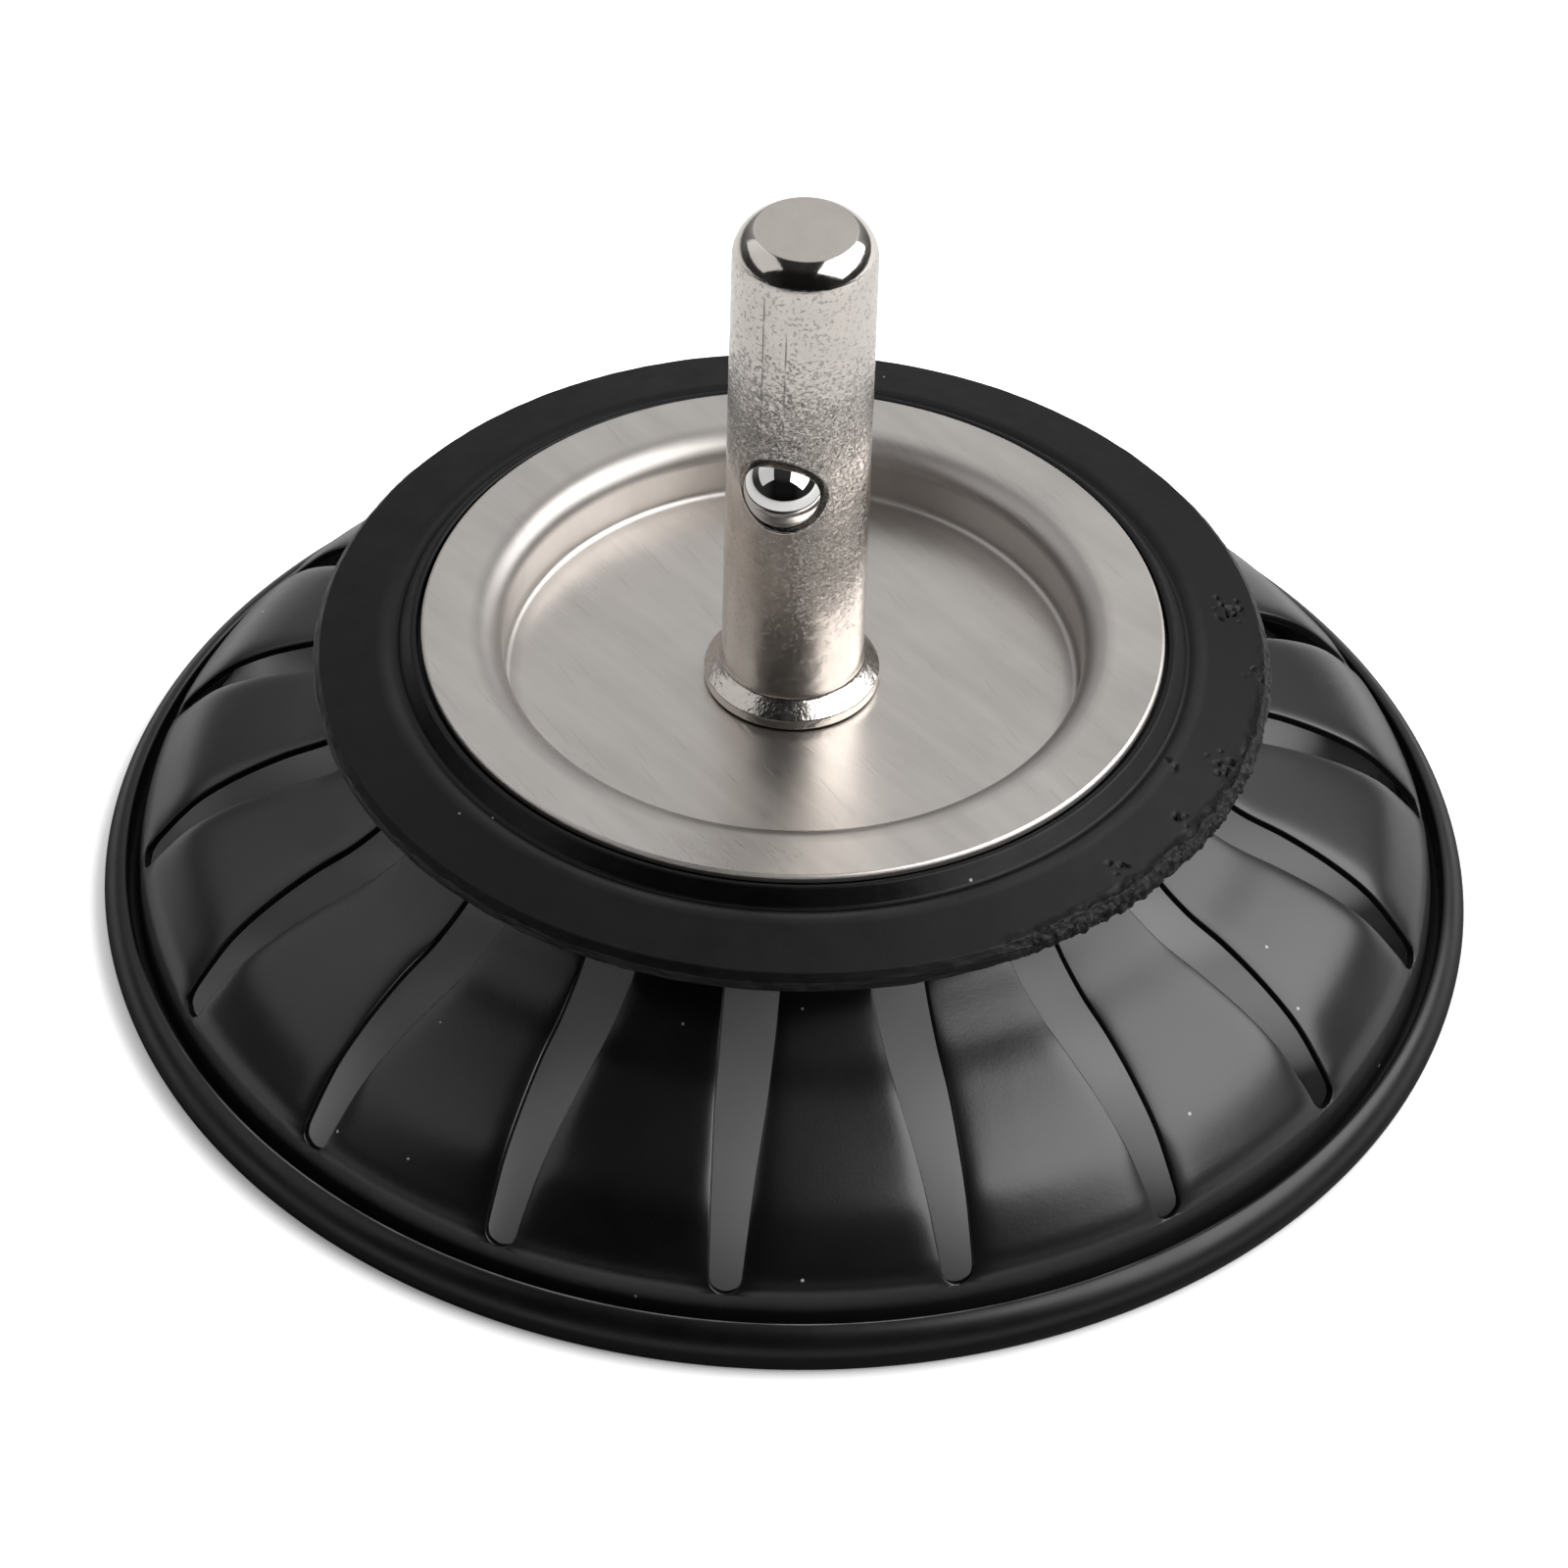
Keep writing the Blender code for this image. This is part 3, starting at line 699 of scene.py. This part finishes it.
        ring = ring_like(last_ring, r, z)
        seam(faces, previous, ring)
        previous = ring
    seam(faces, previous, ring_at(last_row, -1))
    ob = new_object("basket_pressing", verts, faces, 55.0)
    for polygon in ob.data.polygons[cut_start:cut_end]:
        polygon.material_index = 1
    clean(ob)
    return ob


def clean(ob):
    """Merge doubled points of a closed mesh and turn its faces outwards."""
    bm = bmesh.new()
    bm.from_mesh(ob.data)
    bmesh.ops.remove_doubles(bm, verts=bm.verts, dist=1e-8)
    bmesh.ops.recalc_face_normals(bm, faces=bm.faces)
    bm.to_mesh(ob.data)
    bm.free()


def make_rim():
    """Rounded edge ring, hooked over the basket's flange."""
    middle = 1.25                            # height of the widest place
    top = RIM_BORE + RIM_CREST + 0.02        # radius where the inner roll meets the outer curve
    wide, tall = RIM_RADIUS - top, RIM_HEIGHT - middle
    outline = arc(RIM_BORE + RIM_CREST, RIM_HEIGHT - RIM_CREST, RIM_CREST, 180, 94, 8)
    for k in range(35):
        a = math.radians(90 - 138 * k / 34)
        power = 1.28 if a > 0 else 1.0       # flatter than an ellipse above the middle
        up = math.copysign(abs(math.sin(a)) ** power, a)
        outline.append((top + wide * math.cos(a) ** power, middle + tall * up))
    outline.append((41.3, 0.0))
    outline += [(RIM_BORE, 0.0), (RIM_BORE, 0.45), (41.4, 0.45), (41.4, 1.65), (RIM_BORE, 1.65)]
    return turned("rim_trim", outline, 288)


def flash_strength(angle):
    """How ragged the moulding flash is at an angle: strong over a stretch of the right-hand edge."""
    turn = math.degrees(angle) + 90.0
    turn = (turn + 180.0) % 360.0 - 180.0
    rise = min(max((turn - 24.0) / 10.0, 0.0), 1.0)
    fade = min(max((100.0 - turn) / 30.0, 0.0), 1.0)
    return rise * fade


def make_seal():
    """Rubber seal: hub, bead round the dish, step, and a thin lip with torn flash and pits."""
    corners = [
        (18.5, 20.4, 0.1), (22.60, 20.4, 0.0), (22.66, 21.0, 0.18), (23.02, 21.0, 0.2),
        (23.85, 20.03, 0.26), (24.5, 20.19, 1.4), (28.5, 19.35, 0.14), (SEAL_RADIUS, 18.85, 0.25),
        (28.86, 18.2, 0.2), (28.4, 17.82, 0.25), (25.0, 17.6, 0.6), (24.2, 16.8, 0.3), (18.5, 16.8, 0.1)]
    outline = spread(rounded(corners, 5), lambda r: 0.13 if r > 27.4 else 0.6)

    def shift(r, z, a):
        if r < 23.7:
            return r, z
        x, y = r * math.cos(a), r * math.sin(a)
        edge = min(max((r - 27.9) / 0.6, 0.0), 1.0)
        side = min(max((19.25 - z) / 0.3, 0.0), 1.0) * edge
        zz = z + 0.012 * noise.noise(Vector((x * 0.35, y * 0.35, 3.0)))
        rr = r + 0.03 * edge * noise.noise(Vector((x * 0.9, y * 0.9, z)))
        if side:
            torn = noise.fractal(Vector((a * 22.0, z * 5.0, 1.7)), 0.8, 2.1, 4)
            rr += 0.045 * side * torn
        rag = flash_strength(a)
        if rag and edge:
            length = a * SEAL_RADIUS
            tear = noise.fractal(Vector((length * 0.45, r * 0.7, z * 0.6)), 0.9, 2.1, 3)
            strand = noise.fractal(Vector((length * 2.4, z * 1.4, 7.0)), 0.7, 2.1, 3)
            lift = noise.fractal(Vector((length * 0.9, r * 2.6, 31.0)), 0.7, 2.2, 4)
            rr += edge * rag * (0.04 + 0.16 * tear + 0.20 * strand * side)
            zz += edge * rag * (0.04 + 0.26 * lift)
        if z > 19.0:
            for pit_turn, pit_r, size, depth in PITS:
                pa = math.radians(pit_turn - 90.0)
                away = math.hypot(x - pit_r * math.cos(pa), y - pit_r * math.sin(pa))
                if away < size:
                    grain = noise.noise(Vector((x * 2.6, y * 2.6, 11.0))) - 0.30 * away / size
                    zz -= depth * min(max((grain - 0.05) / 0.12, 0.0), 1.0)
        return rr, zz

    return turned("seal_moulding", outline, 1280, 70.0, shift)


def make_dish():
    """Pressed dish from sheet, with rolled corner radii and a softened cut edge."""
    outline = rounded([
        (DISH_RADIUS, DISH_TOP - SHEET, 0.15), (DISH_RADIUS, DISH_TOP, 0.22),
        (RECESS_RADIUS, DISH_TOP, 1.5), (RECESS_RADIUS - 0.12, DISH_FLOOR, 0.45),
        (2.8, DISH_FLOOR, 0.08), (2.8, DISH_FLOOR - SHEET, 0.08),
        (RECESS_RADIUS + SHEET - 0.12, DISH_FLOOR - SHEET, 1.0),
        (RECESS_RADIUS + SHEET, DISH_TOP - SHEET, 0.9)], 10)

    def shift(r, z, a):
        wall = max(0.0, 1 - abs(r - RECESS_RADIUS) / 1.4)
        wave = noise.noise(Vector((math.cos(a) * 3.0, math.sin(a) * 3.0, z * 0.25)))
        lift = noise.noise(Vector((r * math.cos(a) * 0.3, r * math.sin(a) * 0.3, 5.0)))
        return r + 0.035 * wall * wave, z + 0.006 * lift

    return turned("dish_pressing", outline, 320, shift=shift)


def spindle_outline():
    """Turned outline from the tail's end up to the top: radius, height, corner radius."""
    return [(0.0, 5.4, 0.0), (2.5, 5.4, 0.3), (2.5, 18.6, 0.1), (4.1, 18.6, 0.1), (4.1, 17.6, 0.06),
            (FLANGE_RADIUS, 17.52, 0.1), (FLANGE_RADIUS, 18.2, 0.14), (4.55, 18.85, 0.25),
            (SPINDLE_RADIUS, 19.1, 0.35)]


def make_spindle():
    """Spindle with a cross bore whose rolled, staked mouths follow the shaft's round surface."""
    around = 160                             # columns round the shaft
    span = around // 8                       # from a mouth patch's middle to its edge, in columns
    cell = 2 * math.pi * SPINDLE_RADIUS / around
    mouth, roll = 2.68, 0.08                 # radius of the mouth, and of its rolled edge
    centre_z = BALL_CENTRE.z
    low_patch, high_patch = centre_z - span * cell, centre_z + span * cell
    foot = rounded(spindle_outline() + [(SPINDLE_RADIUS, 30.0, 0.0)], 6)
    rows = [p for p in foot if p[1] < 29.9]
    rows += [(SPINDLE_RADIUS, z) for z in np.arange(rows[-1][1] + 0.3, low_patch - 0.1, 0.2)]
    start = len(rows)
    rows += [(SPINDLE_RADIUS, low_patch + cell * k) for k in range(2 * span + 1)]
    stop = len(rows) - 1
    top_start = SPINDLE_TOP - SHOULDER_ROUND * math.sin(math.radians(SHOULDER_DEG))
    rows += [(SPINDLE_RADIUS, z) for z in np.arange(high_patch + 0.2, top_start - 0.1, 0.2)]
    rows.append((SPINDLE_RADIUS, top_start - 0.04))
    rows += arc(SPINDLE_RADIUS - SHOULDER_ROUND, top_start, SHOULDER_ROUND, 0, SHOULDER_DEG, 22)[1:]
    rows.append((rows[-1][0] - 0.03, SPINDLE_TOP - 0.004))
    rows += [(r, SPINDLE_TOP) for r in (SHOULDER_INNER - 0.08, 1.6, 0.0)]

    verts, faces, grid = [], [], {}

    def point(turn, r, z):
        a = DETENT_TURN + turn
        return (r * math.cos(a), r * math.sin(a), z)

    def inside(column, row):
        """True within a mouth patch, whose own rings fill it."""
        from_front = min(column % around, -column % around)
        from_rear = abs(column % around - around // 2)
        return start < row < stop and min(from_front, from_rear) < span

    for row, (r, z) in enumerate(rows):
        if r == 0.0:
            verts.append((0.0, 0.0, z))
            for column in range(around):
                grid[column, row] = len(verts) - 1
            continue
        for column in range(around):
            if inside(column, row):
                continue
            verts.append(point(2 * math.pi * column / around, r, z))
            grid[column, row] = len(verts) - 1
    for row in range(len(rows) - 1):
        for column in range(around):
            beyond = (column + 1) % around
            cells = [(column, row), (beyond, row), (beyond, row + 1), (column, row + 1)]
            if all(key in grid for key in cells):
                near_front = min(column, around - column) <= span and min(beyond, around - beyond) <= span
                near_rear = abs(column - around // 2) <= span and abs(beyond - around // 2) <= span
                if start <= row < stop and (near_front or near_rear):
                    continue
                add_face(faces, [grid[key] for key in cells])

    def border():
        """Patch border as (column, row) steps from its middle, anticlockwise seen from outside."""
        steps = [(span, k) for k in range(-span, span)]
        steps += [(-k, span) for k in range(-span, span)]
        steps += [(-span, -k) for k in range(-span, span)]
        steps += [(k, -span) for k in range(-span, span)]
        return steps

    inner_rings = []
    middle_row = (start + stop) // 2
    for base in (0, around // 2):
        ring = [grid[(base + c) % around, middle_row + r] for c, r in border()]
        angles = [math.atan2(r, c) for c, r in border()]
        turn0 = 2 * math.pi * base / around

        previous = ring
        for share in (0.16, 0.32, 0.48, 0.62, 0.74, 0.84, 0.92, 0.97, 1.0):
            fresh = []
            for (c, r), angle in zip(border(), angles):
                reach = mouth + roll
                turn = math.asin(reach * math.cos(angle) / SPINDLE_RADIUS)
                up = reach * math.sin(angle)
                turn = (1 - share) * (2 * math.pi * c / around) + share * turn
                up = (1 - share) * (cell * r) + share * up
                uneven = noise.noise(Vector((math.cos(angle) * 2.2, math.sin(angle) * 2.2, base)))
                burr = 0.02 * math.exp(-((share - 0.9) / 0.09) ** 2) * (0.7 + 0.6 * uneven)
                verts.append(point(turn0 + turn, SPINDLE_RADIUS + burr, centre_z + up))
                fresh.append(len(verts) - 1)
            seam(faces, previous, fresh)
            previous = fresh
        roll_turns = [math.radians(a) for a in (18, 36, 54, 72, 90)]
        sink = [(mouth + roll * (1 - math.sin(a)), roll * (1 - math.cos(a))) for a in roll_turns]
        sink += [(mouth, 0.5), (mouth - 0.02, 1.1)]
        for reach, depth in sink:
            fresh = []
            for angle in angles:
                side, up = reach * math.cos(angle), reach * math.sin(angle)
                forward = math.sqrt(SPINDLE_RADIUS**2 - ((mouth + roll) * math.cos(angle)) ** 2) - depth
                if depth < roll:
                    forward = math.sqrt(SPINDLE_RADIUS**2 - side**2) - depth
                nick = 0.0
                if base == 0 and depth < roll and -2.2 < angle < -0.7:
                    nick = 0.05 * max(0.0, noise.noise(Vector((angle * 9.0, 4.0, 2.0))))
                x, y = forward - nick, side
                a = DETENT_TURN + turn0
                ahead, aside = x * math.cos(a) - y * math.sin(a), x * math.sin(a) + y * math.cos(a)
                verts.append((ahead, aside, centre_z + up))
                fresh.append(len(verts) - 1)
            seam(faces, previous, fresh)
            previous = fresh
        inner_rings.append((previous, angles))
    front, rear = inner_rings[0][0], inner_rings[1][0]
    by_angle = {}
    for vertex, angle in zip(rear, inner_rings[1][1]):
        by_angle[round(math.sin(angle), 5), round(-math.cos(angle), 5)] = vertex
    mirrored = [by_angle[round(math.sin(a), 5), round(math.cos(a), 5)] for a in inner_rings[0][1]]
    seam(faces, front, mirrored)
    ob = new_object("spindle_turning", verts, faces, 50.0)
    clean(ob)
    pebble(ob)
    return ob


def pebble(ob):
    """Slight unevenness of the plated shaft, under 0.02 mm deep."""
    for v in ob.data.vertices:
        r = math.hypot(v.co.x, v.co.y)
        z = v.co.z / MM
        if r < SPINDLE_RADIUS * 0.97 * MM or z < 19.6:
            continue
        strength = 0.35 + 0.65 * min(max((44.0 - z) / 5.0, 0.0), 1.0)
        p = v.co / MM
        wave = noise.noise(p * 1.6) * 0.012 + noise.noise(p * 3.4 + Vector((9, 3, 1))) * 0.006
        v.co.x *= 1 + strength * wave * MM / r
        v.co.y *= 1 + strength * wave * MM / r


def make_ball(name, side):
    """Polished ball, denser at the pole that shows."""
    outline = [(0.0, -BALL_RADIUS)]
    turns = [math.radians(a) for a in range(3, 180, 3)]
    outline += [(BALL_RADIUS * math.sin(a), -BALL_RADIUS * math.cos(a)) for a in turns]
    outline += [(0.0, BALL_RADIUS)]
    ob = turned(name, outline, 120, 180.0)
    direction = OUT * side
    turn = Vector((0, 0, 1)).rotation_difference(direction).to_matrix().to_4x4()
    spot = Vector((direction.x * BALL_REACH, direction.y * BALL_REACH, BALL_CENTRE.z))
    place = Matrix.Translation(spot * MM)
    ob.data.transform(place @ turn)
    return ob


def make_half_spring(name, side):
    """Half of the detent spring, from its middle to the ball on one side."""
    coil_r, wire_r, turns, reach = 1.6, 0.17, 1.25, 1.12
    gap = 0.03                               # from the bore's middle to where this half begins
    steps, sides = 60, 12
    axis = OUT * side
    across = Vector((-OUT.y, OUT.x, 0))
    up = Vector((0, 0, 1))
    centre = Vector((0, 0, BALL_CENTRE.z))
    verts, rings, faces = [], [], []
    for i in range(steps + 1):
        a = 2 * math.pi * turns * i / steps * side
        radial = across * math.cos(a) + up * math.sin(a)
        spot = centre + axis * (gap + reach * i / steps) + radial * coil_r
        ring = []
        for s in range(sides):
            b = 2 * math.pi * s / sides
            verts.append(spot + (radial * math.cos(b) + axis * math.sin(b)) * wire_r)
            ring.append(len(verts) - 1)
        rings.append(ring)
    for lower, upper in zip(rings, rings[1:]):
        seam(faces, lower, upper)
    faces += [rings[0], rings[-1]]
    ob = new_object(name, verts, faces, 60.0)
    clean(ob)
    return ob


def make_knob():
    """Pull knob: soft waist, rolled head with a shallow thumb dish, hollow neck over the nut."""
    outline = rounded([
        (0.0, KNOB_LOW + 0.35, 0.0), (4.6, KNOB_LOW + 0.25, 1.5), (6.8, KNOB_LOW, 0.9),
        (9.6, KNOB_LOW + 0.6, 2.0), (10.5, 5.2, 1.6), (9.4, 8.0, 1.2), (6.7, 9.3, 2.2),
        (6.45, 12.3, 1.2), (6.9, 13.6, 0.3), (6.75, KNOB_TOP, 0.15),
        (5.2, KNOB_TOP, 0.15), (5.2, 9.2, 0.3), (4.0, 9.0, 0.1), (4.0, 4.7, 0.1), (0.0, 4.7, 0.0)], 8)
    return turned("knob_moulding", outline, 160)


def make_washer(name, node, edge):
    """Flat washer with stamped, softened edges."""
    bore, top, bottom, outer = 2.8, high(node).z, low(node).z, high(node).x
    corners = [(bore, bottom, edge), (outer, bottom, edge * 1.6), (outer, top, edge), (bore, top, edge)]
    return turned(name, rounded(corners, 5), 128)


def make_floor():
    """Pale studio floor, with a painted dark ring round the rim that only reflections see, and a glow seen
    only by the camera that washes out the shadow beyond the rim.
    """
    around = 64
    verts, rings, faces = [(0.0, 0.0, 0.0)], [], []
    turns = [2 * math.pi * i / around for i in range(around)]
    for r in (60.0, 200.0, 700.0, 3000.0):
        start = len(verts)
        verts += [(r * math.cos(a), r * math.sin(a), 0.0) for a in turns]
        rings.append(list(range(start, start + around)))
    faces += [[0, rings[0][i], rings[0][(i + 1) % around]] for i in range(around)]
    for inner_ring, outer_ring in zip(rings, rings[1:]):
        seam(faces, inner_ring, outer_ring)
    ob = new_object("studio_floor", verts, faces)
    for polygon in ob.data.polygons:
        if polygon.normal.z < 0:
            polygon.flip()
    p = Paint("studio_floor", (0.86, 0.86, 0.86), 0.85, specular=0.2)
    seen = p.node("LightPath").outputs["Is Camera Ray"]
    pale = p.mix(p.noise(14.0, 3.0), grey(0.85), grey(0.88))
    # Painted shadow: a dark ring round the rim, seen only in reflections.
    painted_shadow_ring = p.window(p.radius(), RIM_RADIUS - 6.0, RIM_RADIUS - 3.0, RIM_RADIUS + 3.0, RIM_RADIUS + 8.0)
    painted_shadow_unseen = p.times(p.calc(1.0, seen, "SUBTRACT"), painted_shadow_ring)
    p.use("Base Color", p.mix(p.times(painted_shadow_unseen, 0.85), pale, grey(0.02)))
    # Painted light: beyond the rim the floor glows for the camera only, washing out its shadow there.
    clear = p.remap(p.radius(), RIM_RADIUS - 1.0, RIM_RADIUS + 2.0, 0.0, 1.0)
    p.use("Emission Color", p.mix(p.times(clear, seen), grey(0.0), grey(1.0)))
    p.set("Emission Strength", 0.9)
    ob.data.materials.append(p.material)


def dress(ob, material, body, slot, *nodes):
    """Give a piece its material and its body, and hide the CAD nodes it stands for; slot is not used."""
    ob.data.materials.clear()
    ob.data.materials.append(material)
    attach(ob, body)
    if nodes:
        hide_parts(*nodes)


def build_plug():
    """Every piece with its material, body and CAD nodes."""
    coating, rubber, steel = black_coating(), seal_rubber(), brushed_steel()
    plastic = rim_plastic()
    chrome = ball_chrome()
    wire = turned_metal("spring_wire", (0.45, 0.45, 0.46), 0.3)
    bright = turned_metal("washer_steel", (0.60, 0.59, 0.57), 0.28)
    brass = turned_metal("turned_brass", (0.62, 0.44, 0.19), 0.3)
    basket = make_basket()
    cut_faces = [polygon.material_index for polygon in basket.data.polygons]
    dress(basket, coating, "plug", "black_coated_steel", "strainer_basket")
    basket.data.materials.append(cut_edge_black())
    basket.data.polygons.foreach_set("material_index", cut_faces)
    dress(make_rim(), plastic, "plug", "rim_black", "rim_ring")
    dress(make_seal(), rubber, "plug", "black_rubber", "seal")
    dress(make_dish(), steel, "plug", "brushed_steel", "retaining_dish")
    dress(make_spindle(), nickel_plate(), "plug", "nickel", "spindle")
    dress(make_ball("front_ball", 1), chrome, "ball_front", "chrome", "detent_ball_front")
    dress(make_ball("rear_ball", -1), chrome, "ball_rear", "chrome", "detent_ball_rear")
    dress(make_knob(), plastic, "plug", "black_plastic", "pull_knob")
    washer = make_washer("deck_washer", "backing_washer", 0.12)
    dress(washer, bright, "plug", "brushed_steel", "backing_washer")
    halves = (("spring_front_half", 1, "front_ball_slide"), ("spring_rear_half", -1, "rear_ball_slide"))
    for name, side, joint in halves:
        half = make_half_spring(name, side)
        dress(half, wire, "plug", "spring_steel", "detent_spring")
        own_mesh(half)
    carried = {"spindle_o_ring": rubber, "lock_washer": wire, "clamp_nut": bright, "knob_insert": brass}
    for node, material in carried.items():
        ob = frame["nodes"][node]
        ob.data.materials.clear()
        ob.data.materials.append(material)


# ---------------------------------------------------------------- studio

CAMERA_DISTANCE = 490.9          # millimetres from the frame's origin plane, along the view
CAMERA_ELEVATION = 41.85
CAMERA_ROLL = 1.87
CAMERA_AIM = (-0.04, 6.29)       # where the view's centre passes the origin, across and up
CAMERA_LENS = 181.8


def make_camera():
    e, roll = math.radians(CAMERA_ELEVATION), math.radians(CAMERA_ROLL)
    across, up = Vector((1, 0, 0)), Vector((0, math.sin(e), math.cos(e)))
    back = Vector((0, -math.cos(e), math.sin(e)))
    right = across * math.cos(roll) + up * math.sin(roll)
    top = up * math.cos(roll) - across * math.sin(roll)
    spot = (right * CAMERA_AIM[0] + top * CAMERA_AIM[1] + back * CAMERA_DISTANCE) * MM
    camera = bpy.data.objects.new("camera", bpy.data.cameras.new("camera"))
    bpy.context.scene.collection.objects.link(camera)
    turn = Matrix((right, top, back)).transposed().to_4x4()
    camera.matrix_world = Matrix.Translation(spot) @ turn
    camera.data.sensor_width = 36.0
    camera.data.lens = CAMERA_LENS
    camera.data.clip_start = 0.01
    camera.data.clip_end = 20.0
    bpy.context.scene.camera = camera


def make_softbox(name, turn_deg, lift_deg, distance, width, height, power):
    """Area lamp aimed at the plug, at degrees from -Y towards +X and degrees above the floor."""
    lamp = bpy.data.lights.new(name, "AREA")
    lamp.shape = "RECTANGLE"
    lamp.size, lamp.size_y = width, height
    lamp.energy = power
    ob = bpy.data.objects.new(name, lamp)
    bpy.context.scene.collection.objects.link(ob)
    a, e = math.radians(turn_deg), math.radians(lift_deg)
    direction = Vector((math.sin(a) * math.cos(e), -math.cos(a) * math.cos(e), math.sin(e)))
    aim = Vector((0, 0, 0.02))
    ob.location = aim + direction * distance
    ob.rotation_euler = direction.to_track_quat("Z", "Y").to_euler()


def make_world():
    """Dark room in front, lit backdrop behind; the camera itself sees a plain pale surround."""
    world = bpy.data.worlds.new("studio")
    bpy.context.scene.world = world
    world.use_nodes = True
    n = Nodes(world.node_tree)
    parts = n.node("SeparateXYZ")
    n.join(n.node("TexCoord").outputs["Generated"], parts.inputs[0])
    across, depth, up = parts.outputs
    aside = n.calc(across, 0.0, "ABSOLUTE")
    behind = n.remap(depth, 0.1, 0.75, 0.008, 0.67, shape="SMOOTHSTEP")
    behind = n.times(behind, n.remap(up, 0.05, 0.5, 0.45, 1.0, shape="SMOOTHSTEP"))
    behind = n.times(behind, n.remap(aside, 0.3, 0.7, 1.0, 0.35, shape="SMOOTHSTEP"))
    sides = n.remap(aside, 0.4, 0.95, 0.0, 0.03, shape="SMOOTHSTEP")
    above = n.remap(up, 0.75, 0.97, 0.0, 0.025, shape="SMOOTHSTEP")
    room = n.sum(behind, n.sum(sides, above))
    level = n.node("Mix")
    level.data_type = "FLOAT"
    n.join(n.node("LightPath").outputs["Is Camera Ray"], level.inputs["Factor"])
    n.join(room, level.inputs["A"])
    n.join(1.0, level.inputs["B"])
    background = n.tree.nodes["Background"]
    n.join(level.outputs["Result"], background.inputs["Color"])
    background.inputs["Strength"].default_value = 1.0


def make_studio():
    """Surround, two softboxes and a view transform that leaves white as white."""
    make_world()
    make_softbox("softbox_left", -98, 42, 1.1, 1.25, 0.85, 2.35)
    make_softbox("softbox_right", 92, 46, 1.1, 1.5, 1.05, 20.6)
    bpy.context.scene.view_settings.view_transform = "Standard"


build_plug()
make_floor()
make_camera()
make_studio()
